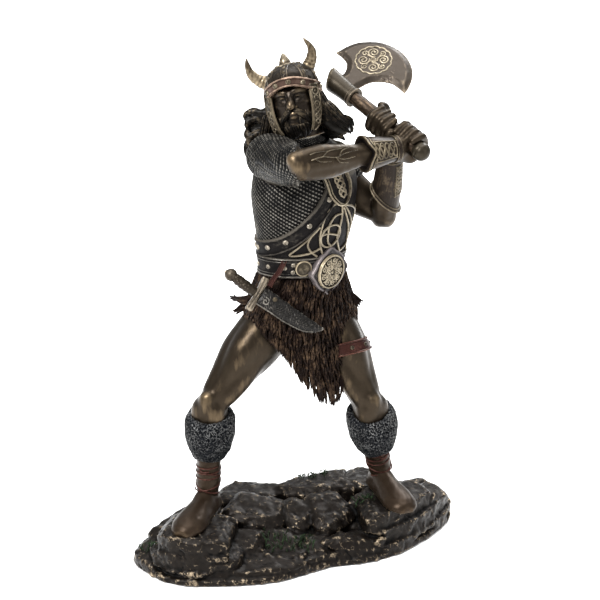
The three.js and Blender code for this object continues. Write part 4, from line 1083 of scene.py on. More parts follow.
def boot(name):
    knee, ankle, toe = joints(name, "knee", "ankle", "toe")
    direction = unit((toe - ankle) * (1, 1, 0))
    along, wide, high = catmull(FOOT, 48).T
    heel = np.array([ankle[0], ankle[1], SOLE_Z])
    middle = heel + direction * along[:, None]
    foot = swept(middle, np.cross(UP, direction), UP, catmull(FOOT_SECTION, 49), wide, high)
    foot[..., 2] = np.maximum(foot[..., 2], SOLE_Z)
    centres = [mix(knee, ankle, t) for t in BOOT_SHAFT["shares"]]
    shaft = tube_points(centres, BOOT_SHAFT["wide"], BOOT_SHAFT["deep"], LEGS[name]["front"], 46, 76)
    return [displaced(tube(foot), creases), displaced(tube(shaft), creases)]


def creases(points, normal):
    folds = np.abs(noise(points * (1, 1, 2.4), 5, 21))
    amount = 0.4 * (0.35 - folds) + 0.06 * rough(points, 1.6, 2, 22)
    return np.where(points[:, 2] > SOLE_Z + 1.5, amount, 0)


def thongs(name):
    knee, ankle = joints(name, "knee", "ankle")
    _, side, ahead = leg_axes(name, knee, ankle)
    parts = []
    t = np.linspace(0, 1, 110)
    for start, end, turns, phase in THONGS:
        a = (phase + turns * 2 * math.pi * t)[:, None]
        share = (start + (end - start) * t)[:, None]
        grow = 6.7 + 0.5 * smooth_step(share, 0.85, 1.0)
        path = knee + (ankle - knee) * share + side * np.cos(a) * grow + ahead * np.sin(a) * (grow + 0.45)
        parts.append(cord(path, 0.45, 6))
    return parts


def make_boots():
    piece("boots", boot("right") + boot("left"), BOOT, rounds=8)
    piece("boot_thongs", thongs("right") + thongs("left"), RED_LEATHER, rounds=2)


make_boots()

# Hair and fur: tapered strands, each with grooves along it

def strand(points, radius, flat=0.6, up=None, sides=8, steps=12, lobes=3):
    """A tapered strand with grooves along it. flat is its height as a share of its width."""
    path = catmull(points, steps)
    t = np.linspace(0, 1, steps)
    width = radius * (0.7 + 0.3 * np.sin(np.minimum(t * 2.6, math.pi / 2))) * np.sqrt(np.maximum(1 - t, 0.004))
    a = full_turn(sides)
    section = polar(1 + 0.16 * np.cos(lobes * a), a)
    return tube(swept(path, *axes_across(path, up), section, width, width * flat))


# Fur kilt, whose hem drops to a point in front and, less, behind
KILT = {"top": 164.5, "side": 139, "front": 48, "back": 20, "flare": 4.5, "hips": 141, "fringe": 6.5}
# Points from the hem's inside to its tip: share of the turn that it leans, share of the way down, and lift
HEM_TIP = ((0, 0.84, 0.2), (0.4, 0.93, 2.2), (1, 1.03, 1.0))
KILT_TUFTS = [
    [(-20, -12, 152), (-30, -11, 148), (-37.5, -9.5, 149.5)],
    [(-20, -8, 147), (-29, -7, 143), (-35, -6, 139)],
    [(20, 4, 150), (29, 4, 144.5), (35, 4, 140.5)],
    [(20, 1, 146), (26, 1, 138), (30, 1, 133)],
]


def hem_height(angle):
    angle = (np.asarray(angle, float) + 180) % 360 - 180
    front = np.exp(-(((angle - 8) / np.where(angle < 8, 54, 40)) ** 2))
    back = np.exp(-((((angle + 360) % 360 - 180) / 42) ** 2))
    return KILT["side"] - KILT["front"] * front - KILT["back"] * back


def on_kilt(angle, t, lift=0.0):
    """Points on the kilt at angles, and shares of its height down."""
    angle, t, lift = np.broadcast_arrays(np.asarray(angle, float), np.asarray(t, float), lift)
    z = KILT["top"] + (hem_height(angle) - KILT["top"]) * t
    flare = 0.8 + KILT["flare"] * np.sin(np.clip(t, 0, 1) * math.pi / 2)
    points = on_torso(angle, np.maximum(z, KILT["hips"]), lift + flare)
    points[..., 2] = z
    return points


def fur_tip(a, row, t0, rng):
    """A strand that starts at angle a, a share t0 down the kilt, unless that is too near its hem."""
    height = KILT["top"] - float(hem_height(a))
    length = rng.uniform(6, 11)
    if t0 * height > height - 3:
        return []
    share = min(length, (1 - t0) * height + rng.uniform(1, 3)) / max(height, 12)
    sway = rng.uniform(-4, 4) + 2.5 * math.sin(a * 0.08 + row * 1.3)
    stations = [(a, t0, -0.6), (a + sway * 0.4, t0 + share * 0.45, rng.uniform(0.3, 1.5)),
                (a + sway, t0 + share, rng.uniform(-0.4, 2.0))]
    points = np.array([on_kilt(*station) for station in stations])
    up = torso_normal(a, max(points[1, 2], KILT["hips"]))
    return [strand(points, rng.uniform(0.65, 1.1), 0.7, up, sides=4, steps=5, lobes=2)]


def make_kilt():
    rng = np.random.default_rng(11)
    angle = np.arange(0, 360, 3.0)
    outer = on_kilt(angle, np.linspace(0, 0.9, 20)[:, None], -0.6)
    inner = on_kilt(angle, np.linspace(0.9, 0, 4)[:, None], -4.5)
    parts = [patch(np.concatenate([outer, inner])[:, ::-1], closed_v=True)]
    for row, t0 in enumerate(np.linspace(0.0, 0.94, 21)):
        for a in np.arange(0, 360, 4.0) + 2.0 * (row % 2):
            parts += fur_tip(a + rng.uniform(-1.4, 1.4), row, t0, rng)
    for a in np.arange(-68, 70, 6.2):
        lean = rng.uniform(-7, 7)
        for turn in (a - 1.6, a, a + 1.6):
            points = [on_kilt(turn + lean * share, t, lift) for share, t, lift in HEM_TIP]
            parts.append(strand(points, rng.uniform(0.9, 1.4), sides=5, steps=6, lobes=2))
    for tuft in KILT_TUFTS:
        for _ in range(12):
            shift = rng.normal(0, 1.0, (3, 3)) * (0.8, 0.8, 1.0)
            parts.append(strand(np.array(tuft) + shift, rng.uniform(1.2, 2.0), sides=6, steps=8))
    piece("fur_kilt", parts, FUR, rounds=3)


make_kilt()

# Leather dress on the torso

SASH = {"low": 178, "width": 8.6, "lift": 1.6, "lowest": -130, "span": 145, "reach": 150, "shoulder": 218}
SASH_STUDS = [-88, -62, -36, -15, -2, 14, *range(-112, -272, -20)]


def sash_height(angle):
    t = np.abs(np.asarray(angle, float) - SASH["lowest"]) / SASH["span"]
    z = SASH["low"] + 10 * t + 52 * t**3.8
    return z - 0.6 * np.maximum(z - SASH["shoulder"], 0)


def torso_cord(points, radius, lift, count=60, closed=False):
    """A cord on the torso through points of (angle, height)."""
    angle, z = catmull(points, count, closed).T
    return ribbon(on_torso(angle, z, lift), torso_normal(angle, z), circle(6)[::-1] * radius, closed)


def torso_rivet(angle, z, lift, radius):
    return rivet(on_torso(angle, z, lift), torso_normal(angle, z), radius)


def torso_frame(angle, z, lift):
    return frame_at(on_torso(angle, z, lift), UP, torso_normal(angle, z))


def leather_grain(points, normal):
    near, second = cells(points, 1.3, 31)
    return 0.12 * smooth_step(second - near, 0, 0.35) + 0.1 * noise(points, 3.5, 32)


def make_sash():
    angle = np.linspace(SASH["lowest"] - SASH["reach"], SASH["lowest"] + SASH["reach"], 200)
    path, normal = on_torso(angle, sash_height(angle)), torso_normal(angle, sash_height(angle))
    lift = SASH["lift"]
    leather = ribbon(path, normal, rimmed(SASH["width"], lift, 1.0, 0.55))
    piece("sash", displaced(leather, leather_grain), LEATHER, rounds=6)
    edge = unit(np.cross(tangents(path), normal)) * (SASH["width"] / 2 - 0.45)
    rims = [ribbon(path + edge * across + normal * (lift + 0.05), normal, circle(6) * 0.36) for across in (-1, 1)]
    studs = [torso_rivet(a, float(sash_height(a)), lift - 0.3, 1.55) for a in SASH_STUDS]
    piece("sash_trim", rims, PEWTER, rounds=5)
    piece("sash_studs", studs, STUD, rounds=3)


make_sash()

# Breastplate: a leather panel under the sash, with knotwork in raised cord
PANEL = {"from": -84, "to": 100, "foot": 166, "top": 218}
TONGUE = {"tip": (3, 203), "top": (-7, 226), "half": 15}
# Scale and lift of each layer of the strap end, which hangs from its top to its tip as (angle, height)
TONGUE_LAYERS = ((1.0, -1.0), (1.0, 2.2), (0.97, 2.6), (0.9, 2.4), (0.8, 2.4), (0.7, 2.4), (0.6, 2.4), (0.5, 2.5),
                 (0.38, 2.5), (0.25, 2.5), (0.12, 2.5))

# Cords as paths of (angle, height)
KNOTS = [
    [(3, 203), (-9, 204), (-18, 199), (-22, 191), (-21, 184), (-15, 177), (-8, 171)],
    [(3, 198), (-6, 197.5), (-12, 193.5), (-12.5, 188), (-10, 183), (-2, 179), (6, 171)],
    [(2, 203), (4, 196), (3, 189), (3, 184), (10, 178), (20, 171)],
    [(4, 203), (12, 199), (25, 192), (34, 185), (30, 178), (12, 175), (2, 171)],
    [(5, 201), (14, 194), (24, 187), (33, 178), (42, 171)],
    [(8, 202), (24, 199), (44, 193), (62, 182), (70, 171)],
    [(-23, 187.5), (-14, 188.3), (-4, 187), (6, 185)],
    [(-24, 193), (-33, 188), (-35.5, 183.5), (-31, 179.5), (-22, 176)],
    [(-18, 180.5), (-33, 178.3), (-56, 177.8), (-47, 182), (-38, 186), (-28, 191)],
    [(50, 200), (48, 190), (58, 180), (80, 176)],
    [(70, 202), (74, 190), (66, 180), (50, 172)],
]
KNOT_RING = circle(10) * (13, 6.2) + (-8, 186.5)


def tongue_half(t):
    """Half the width of the strap end, in degrees, a share t of its way down."""
    return TONGUE["half"] * np.minimum(1, 1.15 * np.sqrt(np.clip(1 - t**2.6, 0, 1)))


def tongue_outline(shrink=0.0):
    t = np.linspace(0, 1, 40)
    middle = mix(TONGUE["top"], TONGUE["tip"], t[:, None])
    half = np.maximum(tongue_half(t) - shrink, 0)
    edge = np.stack([half, half * 0.14], -1)
    return np.vstack([middle - edge, (middle + edge)[-2::-1]])


def make_breastplate():
    angle = np.linspace(PANEL["from"], PANEL["to"], 180)
    top = np.minimum(PANEL["top"], sash_height(angle))
    z = PANEL["foot"] + (top - PANEL["foot"]) * np.linspace(0, 1, 52)[:, None]
    grid = np.concatenate([on_torso(angle, z, 0.95), on_torso(angle, z[::-10], -2.0)])
    panel = patch(np.swapaxes(grid, 0, 1), closed_v=True, caps=True)
    piece("breastplate", displaced(panel, leather_grain), LEATHER, rounds=8)

    outline = tongue_outline()
    middle = mix(TONGUE["top"], TONGUE["tip"], 0.4)
    rings = [on_torso(*(middle + (outline - middle) * size).T, lift) for size, lift in TONGUE_LAYERS]
    tongue = patch(np.array(rings), closed_v=True, caps=True)
    piece("strap_end", displaced(tongue, leather_grain), LEATHER, rounds=1)

    cords = [torso_cord(knot, 0.62, 1.35, 44) for knot in KNOTS]
    cords.append(torso_cord(KNOT_RING, 0.62, 1.5, closed=True))
    cords.append(torso_cord(tongue_outline(0.6), 0.6, 2.8))
    cords.append(torso_cord(tongue_outline(3.4), 0.42, 2.8))
    t = np.linspace(0, 1, 16)
    for phase in (0, math.pi):
        for turn, drop in ((phase + 9.5 * t, 18), (phase + 1.6 - 9.5 * t, 17)):
            wave = 6.4 * (1 - 0.4 * t) * np.sin(turn)
            cords.append(torso_cord(np.stack([TONGUE["top"][0] + 8 * t + wave, 225 - drop * t], -1), 0.5, 2.9))
    piece("knot_cords", cords, BRASS, rounds=2)


make_breastplate()

# Belt with its lobed buckle, its disc and its keeper studs
BELT = {"middle": 168, "rise": 2.4, "high": -60, "width": 11, "lift": 1.9}
BUCKLE = {"at": -2, "height": 166.3, "radius": 12.3, "point": 0.9, "medallion": 9.6}
BUCKLE_LAYERS = [(0, -2), (0, 0.9), (0.3, 1.4), (0.9, 1.6), (1.5, 1.35), (2.2, 1.2), (2.8, 1.5), (3.4, 1.2)]
BUCKLE_METAL = patina("buckle", (0.003, 0.003, 0.003), (0.028, 0.025, 0.026), (0.15, 0.13, 0.128), reach=0.6,
                      gloss=0.38)
BELT_DISC = {"at": -38, "profile": [(4.4, -1), (4.5, 0.6), (4.1, 1.0), (3.7, 0.75), (2.4, 1.2), (0.02, 1.5)]}
# Angle and height above the belt's middle
BELT_STUDS = [(-62, 0), (-88, 0), (-51, 1.9), (-51, -2.3), *((a, 0) for a in range(30, 181, 30)),
              (-114, 0), (-144, 0)]


def belt_height(angle):
    return BELT["middle"] + BELT["rise"] * np.cos(np.radians(np.asarray(angle, float) - BELT["high"]))


def make_belt():
    angle = np.arange(0, 360, 2.25)
    z, lift = belt_height(angle), BELT["lift"]
    path, normal = on_torso(angle, z), torso_normal(angle, z)
    belt = ribbon(path, normal, rimmed(BELT["width"], lift, 0.9, 0.35), closed=True)
    piece("belt", displaced(belt, leather_grain), LEATHER, rounds=6)
    rims = []
    for across in (-1, 1):
        for inset, radius in ((0.6, 0.34), (2.2, 0.2)):
            rim = on_torso(angle, z + across * (BELT["width"] / 2 - inset), lift)
            rims.append(ribbon(rim, normal, circle(6) * radius, closed=True))
    studs = [torso_rivet(a, float(belt_height(a)) + dz, lift - 0.3, 1.3) for a, dz in BELT_STUDS]
    piece("belt_trim", rims, PEWTER, rounds=4)
    piece("belt_studs", studs, STUD, rounds=3)


def make_buckle():
    place = torso_frame(BUCKLE["at"], BUCKLE["height"], BELT["lift"])
    a = full_turn(120)
    r = BUCKLE["radius"] + BUCKLE["point"] * np.cos(4 * a) + 0.45 * np.cos(8 * a) + 0.2 * np.cos(12 * a)
    piece("buckle_frame", plate(polar(r, a), BUCKLE_LAYERS, place), BUCKLE_METAL, rounds=3)
    size = BUCKLE["medallion"]
    rim = [(size, 0.5), (size, 2.0), (size - 0.5, 2.5), (size - 1.1, 2.0), (size - 1.5, 1.9)]
    ground = [((size - 1.5) * (1 - t), 1.9 + 1.1 * math.sin(t * math.pi / 2))
              for t in np.linspace(0.15, 0.99, 10)]
    piece("medallion", lathe(rim + ground, 72, place), DARK_BRASS, rounds=4)
    disc = torso_frame(BELT_DISC["at"], float(belt_height(BELT_DISC["at"])), BELT["lift"])
    piece("belt_disc", lathe(BELT_DISC["profile"], 40, disc), DARK_BRASS, rounds=4)
    parts = []
    for ring, count, curl, way in ((6.3, 9, 1.75, 1), (3.1, 5, 1.7, -1)):
        for turn in full_turn(count) + 0.3 * ring:
            scroll = spiral(polar(ring, turn), curl, 1.5, turn + 2.4, way, 28)
            parts.append(cord_on(place, scroll, 0.42, 3.1, bulge=0.012))
            turn += math.pi / count
            leaf = [polar(ring - 1.5, turn), polar(ring + 0.2, turn + 0.06), polar(ring + 1.5, turn)]
            parts.append(cord_on(place, leaf, 0.4, 3.1, 10, bulge=0.012))
    parts.append(cord_on(place, circle(60) * (size - 0.6), 0.45, 2.5, closed=True))
    parts.append(lathe([(0.9, 2.5), (0.9, 3.2), (0.5, 3.5), (0.02, 3.6)], 16, place))
    piece("medallion_scrolls", parts, BRASS, rounds=5)


make_belt()
make_buckle()

def make_thigh_strap():
    hip, knee = joints("left", "hip", "knee")
    tangent, side, ahead = leg_axes("left", hip, knee)
    cos, sin = circle(96).T[:, :, None]
    normal = side * cos + ahead * sin
    centre = mix(hip, knee, 0.43) + ahead * 1.6
    path = centre + side * 13.4 * cos + ahead * 14.8 * sin + tangent * (1.2 * sin + 3.2 * cos)
    strap = ribbon(path, normal, rimmed(7.0, 1.0, 0.9, 0.4, depth=2.5), closed=True)
    piece("thigh_strap", displaced(strap, leather_grain), RED_LEATHER, rounds=6)
    trim = [ribbon(path + tangent * across + normal * 0.95, normal, circle(6) * 0.36, closed=True)
            for across in (-3.0, 3.0)]
    for turn in range(20, 360, 40):
        i = int(turn / 360 * len(path))
        trim.append(rivet(path[i] + normal[i] * 0.7, normal[i], 1.25))
    piece("thigh_strap_trim", trim, DARK_BRASS, rounds=2)


make_thigh_strap()


# Bracers: leather sleeves on the forearms, with a double flared rim and a knot panel on the side that shows
BRACER_LEATHER = patina("bracer_leather", (0.003, 0.002, 0.002), (0.017, 0.012, 0.009), (0.13, 0.095, 0.06),
                        reach=0.55)
BRACERS = {
    "right": {"from": 0.62, "radius": 8.6, "notch": 2.6, "slant": 0.0,
              "panel": (0.1, -1, 0.25), "size": (6.2, 4.6)},
    "left": {"from": 0.24, "radius": 8.1, "notch": 0.0, "slant": 7.0,
             "panel": (0.85, -0.6, 0.1), "size": (9.5, 3.4)},
}
# Share of the cuff's length and radius, towards the wrist
BRACER_WRIST = ((0.6, 7.1), (0.86, 6.3), (0.9, 6.7), (0.97, 6.8), (1, 6.3), (1.01, 4))
# The knot panel's outline, in half lengths and half widths
BRACER_BORDER = [(-1, -0.9), (-0.9, -1), (0.9, -1), (1, -0.9), (1, 0.9), (0.9, 1), (-0.9, 1), (-1, 0.9)]


def bracer(name):
    spec = BRACERS[name]
    elbow, wrist = joints(name, "elbow", "wrist")
    start = mix(elbow, wrist, spec["from"])
    length = np.linalg.norm(wrist - start)
    tangent = unit(wrist - start)
    panel = unit(np.asarray(spec["panel"]) - tangent * np.dot(spec["panel"], tangent))
    side = np.cross(tangent, panel)
    a = full_turn(96)
    out = panel * np.cos(a)[:, None] + side * np.sin(a)[:, None]
    dip = spec["notch"] * np.exp(-((np.minimum(a, 2 * math.pi - a) / 0.42) ** 2)) - spec["slant"] * out[:, 0]

    rim = spec["radius"]
    profile = [(0.5, rim - 2.2), (0, rim + 0.5), (0.8, rim + 0.7), (2.0, rim), (2.6, rim - 0.25),
               (length * 0.3, rim - 0.4)] + [(length * share, radius) for share, radius in BRACER_WRIST]
    rows = catmull(profile, 50)
    fade = smooth_step(rows[:, 0], length * 0.35, 0)
    along = rows[:, :1] + fade[:, None] * dip
    grid = start + tangent * along[..., None] + out * rows[:, 1:, None]
    leather = displaced(patch(grid, closed_v=True, caps=True), leather_grain)

    trim = []
    for shift, grow, radius in ((0.4, 0.7, 0.45), (2.4, 0.2, 0.34)):
        ring = start + tangent * (shift + dip)[:, None] + out * (rim + grow)
        trim.append(ribbon(ring, out, circle(6) * radius, closed=True))
    for share in (0.87, 0.97):
        trim.append(ribbon(start + tangent * length * share + out * 6.75, out, circle(6) * 0.3, closed=True))
    body = rows[rows[:, 0] > 3]

    def on_cuff(path, closed=False):
        """A cord on the leather along a path of distances from the cuff's middle and round it."""
        path = catmull(path, 72, closed)
        shift = length * 0.5 + path[:, 0]
        turn = path[:, 1:] / 7.1
        outward = panel * np.cos(turn) + side * np.sin(turn)
        reach = np.interp(shift, body[:, 0], body[:, 1]) + 0.2
        path = start + tangent * shift[:, None] + outward * reach[:, None]
        return ribbon(path, outward, circle(6) * 0.4, closed)

    long, wide = spec["size"]
    trim.append(on_cuff(np.array(BRACER_BORDER) * (long, wide), closed=True))
    x = np.linspace(-0.92, 0.92, 24)
    for k in range(3):
        y = 0.78 * np.sin(math.pi * long / wide * x + k * 2 * math.pi / 3)
        trim.append(on_cuff(np.stack([x * long, y * wide], -1)))
    for k in (-1, 1):
        trim.append(on_cuff(circle(12) * (long * 0.3, wide * 0.5) + (k * long * 0.45, 0), closed=True))
    return leather, trim


def make_bracers():
    both = [bracer("right"), bracer("left")]
    piece("bracers", [leather for leather, _ in both], BRACER_LEATHER, rounds=8)
    piece("bracer_trim", [part for _, trim in both for part in trim], DARK_BRASS, rounds=3)


make_bracers()

# Knife in its scabbard, slung from the belt across the right hip. Its shapes run along x from the guard.
KNIFE_METAL = patina("knife_metal", (0.003, 0.003, 0.002), (0.026, 0.02, 0.014), (0.24, 0.2, 0.15), reach=0.6)
KNIFE = {"guard": np.array((-21.5, -28, 157.6)), "tip": np.array((13.3, -31, 137.5)), "face": (0.12, -0.95, 0.3)}
KNIFE_GUARD = [(-1.9, -9.2), (-0.6, -9.9), (1.9, -9.2), (1.4, 0), (1.9, 8.6), (-0.6, 9.4), (-1.9, 8.6), (-1.4, 0)]
KNIFE_HANDLE = [(-1, 0, 0), (-5, 0.2, 0), (-9, 0.6, 0), (-13, 1.1, 0), (-16, 1.4, 0)]
# The strap and the two stays between scabbard and figure, in the row frame
KNIFE_STRAP = [(-15.0, -28.6, 162), (-13.2, -28.6, 165.6), (-10, -26.9, 169.5), (-7, -23.8, 174.5)]
SCABBARD_STAYS = (((-12.5, -26, 154.5), (-8, -19, 152)), ((3, -28, 142.5), (4, -20, 143)))


def hatching(points, normal):
    """Fine slanting cuts and dents in the scabbard's leather."""
    cuts = np.abs(noise(points * (1.0, 0.35, 1.0) + points[:, 1:2] * (0.5, 0, 0), 1.1, 46))
    return 0.4 * smooth_step(cuts, 0.0, 0.22) + 0.25 * noise(points, 2.6, 47) - 0.35


def knobs(points, normal):
    return 0.4 * smooth_step(cells(points, 1.25, 45)[0], 0.6, 0.1) - 0.2


def make_scabbard(place, length):
    lower = [(1, -4.9), (length * 0.5, -6.0), (length * 0.8, -5.2), (length * 0.94, -2), (length, 1.5)]
    upper = np.array([(length * 0.66, 2.4), (length * 0.33, 3.8), (1, 4.9)])
    clay = Clay((-1, -9, -3.6), (length + 2, 8, 3.6), 0.33)
    clay.slab(np.vstack([catmull(lower, 26), upper]), np.eye(4), 1.9, bevel=2.6, edge=0.7)
    scabbard = [moved(displaced(clay.mesh(), hatching), place)]
    scabbard += [cord(np.linspace(start, end, 6), 1.8, 12) for start, end in SCABBARD_STAYS]
    piece("scabbard", scabbard, STEEL, rounds=3)
    edge = [(2, -5.0), (10, -5.3), (20, -6.0), (30, -5.4), (36, -3)]
    trim = [cord_on(place, spiral((5.6, -1.6), 2.2, 1.3, 2.0, -1, 28), 0.36, 1.9),
            cord_on(place, edge, 0.34, 1.2, 40)]
    for x in np.arange(11, 31, 1.4):
        trim.append(cord_on(place, [(x, -3.6), (x + 1.8, -1.8), (x + 3, 0.4)], 0.13, 1.95, 6, sides=4))
    piece("scabbard_trim", trim, PEWTER, rounds=4)
    stud = lathe(dome_profile(1.3, 1.0, 0.5), 16, shifted(place, (9.5, 1.8, 1.7)))
    piece("scabbard_stud", stud, BRASS, rounds=3)


def make_knife():
    way = KNIFE["tip"] - KNIFE["guard"]
    place = frame_at(KNIFE["guard"], way, KNIFE["face"])
    make_scabbard(place, float(np.linalg.norm(way)))

    guard = plate(catmull(KNIFE_GUARD, 48, closed=True), [(0.5, -2.3), (0, -1.8), (0, 1.8), (0.5, 2.3)], place)
    grip = 2.5 + 0.5 * np.sin(np.linspace(0, 1, 56) * math.pi)
    handle = cord(catmull(KNIFE_HANDLE, 56), grip, 36, up=UP, height=grip * 1.05)
    parts = [guard, displaced(moved(handle, place), knobs)]
    for y in (-0.9, 0.9):
        parts.append(cord_on(place, [(y, -9), (y * 0.8, 0), (y, 8.6)], 0.55, 2.2, 20))
    pommel = shifted(place, (-17.2, 1.6, 0)) @ np.array(turned(-96, "Y"))
    parts.append(lathe(ball_profile(3.5, 3.4, 16, 0.05), 28, pommel))
    parts.append(lathe([(1.2, 2.6), (1.2, 3.7), (0.02, 3.9)], 14, pommel))
    piece("knife", parts, KNIFE_METAL, rounds=2)
    strap = ribbon(catmull(KNIFE_STRAP, 30), unit((-0.2, -0.95, 0.1)), rimmed(2.6, 0.9, 0.6, 0.3, depth=1.0))
    piece("knife_strap", strap, RED_LEATHER, rounds=5)


make_knife()

# Helmet, in the head's frame: a ribbed dome over a riveted brow band, a spike, two horns and two cheek guards
HELMET = {"wide": 13.3, "deep": 15.2, "middle": 0.6, "top": 17.4, "band": 5.0}
HELMET_SPIKE = [(4.6, -1.5), (4.5, 0.1), (3.6, 0.7), (3.1, 1.4), (2.9, 2.4), (2.3, 3.6), (1.6, 4.9), (0.8, 6.1),
                (0.02, 6.6)]
# Points from root to tip, and the radius at the root
HORNS = [
    ([(-8.7, 1.5, 8), (-14.4, 0.4, 10.4), (-18.4, -1.4, 14.2), (-19.9, -3, 18.8), (-19.4, -4.9, 24.4)], 4.3),
    ([(6.2, 3.2, 9.5), (10.4, 3, 13.6), (13.4, 1.9, 18.4), (13.8, 0.6, 22.8), (11.5, -1.3, 28.4)], 4.1),
]
# Place of the left cheek guard and its half width, from the band down
CHEEK_GUARD = [((12.2, -7.4, 4.5), 2.6), ((12.4, -8.4, -1), 2.8), ((12.2, -9.2, -6), 2.6),
               ((11.6, -10.0, -11), 2.5), ((10.4, -10.6, -15.5), 2.0), ((8.2, -11.0, -18.6), 0.8)]


def brow_height(a):
    return 4.2 - 1.5 * np.sin(a) - 4.5 * np.cos(a) ** 2


def on_helmet(a, share, lift, z):
    """Points on the helmet at angles, shares of its full width, and heights."""
    return np.stack([(HELMET["wide"] * share + lift) * np.cos(a),
                     HELMET["middle"] + (HELMET["deep"] * share + lift) * np.sin(a),
                     np.broadcast_to(z, np.shape(a))], -1)


def helmet_dome():
    a = full_turn(208)
    rise = np.sin(np.linspace(0, math.pi / 2, 46))[:, None] ** 1.1
    share = np.maximum(1 - rise**2.3, 0.0002) ** 0.5
    low = brow_height(a) + HELMET["band"] - 0.6
    z = low + (HELMET["top"] - low) * rise
    rib = np.abs((np.degrees(a) + 22.5) % 45 - 22.5)
    reach = rib * share * HELMET["wide"] * math.pi / 180
    lift = 0.95 * smooth_step(reach, 1.9, 1.4) - 0.35 * np.exp(-((reach - 1.0) / 0.28) ** 2)
    points = on_helmet(np.broadcast_to(a, z.shape), share, lift, z)
    lower = on_helmet(a[None], 1.0, -2.0, low[None] - 2)
    return patch(in_head(np.concatenate([lower, points])), closed_v=True, caps=True)


def dents(points, normal):
    return 0.2 * rough(points, 2.6, 2, 41)


def make_helmet():
    piece("helmet_dome", displaced(helmet_dome(), dents), HELMET_METAL, rounds=6)
    a = full_turn(144)
    out = in_head_way(np.stack([np.cos(a) / HELMET["wide"], np.sin(a) / HELMET["deep"], 0 * a], -1))
    path = in_head(on_helmet(a, 1, 0, brow_height(a) + HELMET["band"] / 2))
    band = ribbon(path, out, rimmed(HELMET["band"], 1.3, 1.2, 0.7, depth=2), closed=True)
    piece("helmet_band", displaced(band, dents), COPPER, rounds=7)

    trim = []
    for b in np.radians(np.arange(0, 360, 30) - 84):
        at = on_helmet(b, 1, 1.0, brow_height(b) + HELMET["band"] / 2)
        trim.append(rivet(in_head(at), in_head_way((math.cos(b), math.sin(b), 0)), 1.45))
    for b in np.radians(np.arange(0, 360, 45)):
        for rise in (0.4, 0.72, 0.92):
            share = (1 - rise**2.3) ** 0.5
            low = brow_height(b) + HELMET["band"]
            at = on_helmet(b, share, 0.7, low + (HELMET["top"] - low) * rise)
            normal = in_head_way((math.cos(b) * share, math.sin(b) * share, rise * 1.2))
            trim.append(rivet(in_head(at), normal, 0.85))
    trim.append(lathe(HELMET_SPIKE, 28, shifted(HEAD, (-0.6, -2, 16.4))))
    piece("helmet_trim", trim, BRASS, rounds=3)
    make_horns()
    make_cheek_guards()


def make_horns():
    horns, collars = [], []
    steps = 84
    t = np.linspace(0, 1, steps)
    for points, radius in HORNS:
        path = catmull(in_head(points), steps)
        width = radius * (1 - t) ** 0.62 * (1 + 0.05 * np.sin(t * 70) * smooth_step(t, 0.7, 0.1))
        horns.append(displaced(cord(path, np.maximum(width, 0.05), 30), horn_grain))
        side, top = axes_across(path)
        for share, grow, size in ((0.07, 1.0, 0.8), (0.13, 0.75, 0.5), (0.2, 0.3, 0.35)):
            i = int(share * (steps - 1))
            x, y = circle(28).T[:, :, None]
            ring = path[i] + (side[i] * x + top[i] * y) * (width[i] + grow * 0.35)
            collars.append(cord(ring, size, closed=True))
    piece("horns", horns, HORN, rounds=8)
    piece("horn_collars", collars, STEEL, rounds=3)


def horn_grain(points, normal):
    return 0.12 * noise(points, 1.4, 51) + 0.14 * noise(points * (1, 1, 0.4), 0.8, 52)


def make_cheek_guards():
    guards, trim = [], []
    steps = 60
    x = np.linspace(-1, 1, 15)
    section = np.vstack([np.stack([x, 0.9 - 0.35 * x**2], -1), [(1, -0.9), (-1, -0.9)]])
    half = [half for _, half in CHEEK_GUARD]
    half = np.interp(np.linspace(0, 1, steps), np.linspace(0, 1, len(half)), half)
    for way in (-1, 1):
        path = catmull(in_head([(way * x, y, z) for (x, y, z), _ in CHEEK_GUARD]), steps)
        normal = in_head_way((way, -0.95, 0.05))
        tangent = tangents(path)
        side = unit(np.cross(tangent, normal))
        guards.append(patch(swept(path, side, normal, section, half), closed_v=True, caps=True))
        for edge in (-0.86, 0.86):
            trim.append(cord(path + side * (half * edge)[:, None] + normal * 0.75, 0.32, 6))
        for share, size in ((0.14, 1.9), (0.42, 1.5), (0.66, 1.3)):
            i = int(share * (steps - 1))
            place = frame_at(path[i] + normal * 0.8, tangent[i], normal)
            trim.append(cord_on(place, circle(8) * size, 0.34, 0.15, 28, closed=True))
            trim.append(lathe(dome_profile(0.6, 0.5, 0.4, 5), 10, place))
            for k in (-1, 1):
                leaf = [(size + 0.2, 0), (size + 1.4, k * 1.3), (size + 2.6, 0)]
                trim.append(cord_on(place, leaf, 0.32, 0.1, 12))
    piece("cheek_guards", guards, DARK_BRASS, rounds=1)
    piece("cheek_guard_trim", trim, BRASS, rounds=2)


make_helmet()

# Hair: locks made of fine strands

def lock(points, radius, strands, rng, steps, thin=0.42, wave=0.0):
    """A tapered lock of strands that twist a little. thin is a strand's radius as a share of the lock's."""
    path = catmull(points, steps)
    side, top = axes_across(path)
    t = np.linspace(0, 1, steps)
    swell = np.sqrt(np.sin(np.minimum(t * 3.2 + 0.55, math.pi / 2))) * np.maximum(1 - t, 0.03) ** 0.55
    parts = []
    for k in range(strands):
        angle = 2 * math.pi * (k + rng.uniform(-0.3, 0.3)) / strands
        out = radius * (1 - 0.6 * thin) * (0.35 if k == 0 else 1.0) * swell
        turn = angle + 1.1 * t + wave * np.sin(t * 7 + k)
        offset = side * (np.cos(turn) * out)[:, None] + top * (np.sin(turn) * out)[:, None] * 0.75
        radius_here = radius * thin * rng.uniform(0.85, 1.2)
        parts.append(strand(path + offset, radius_here, 0.8, sides=5, steps=steps, lobes=2))
    return parts


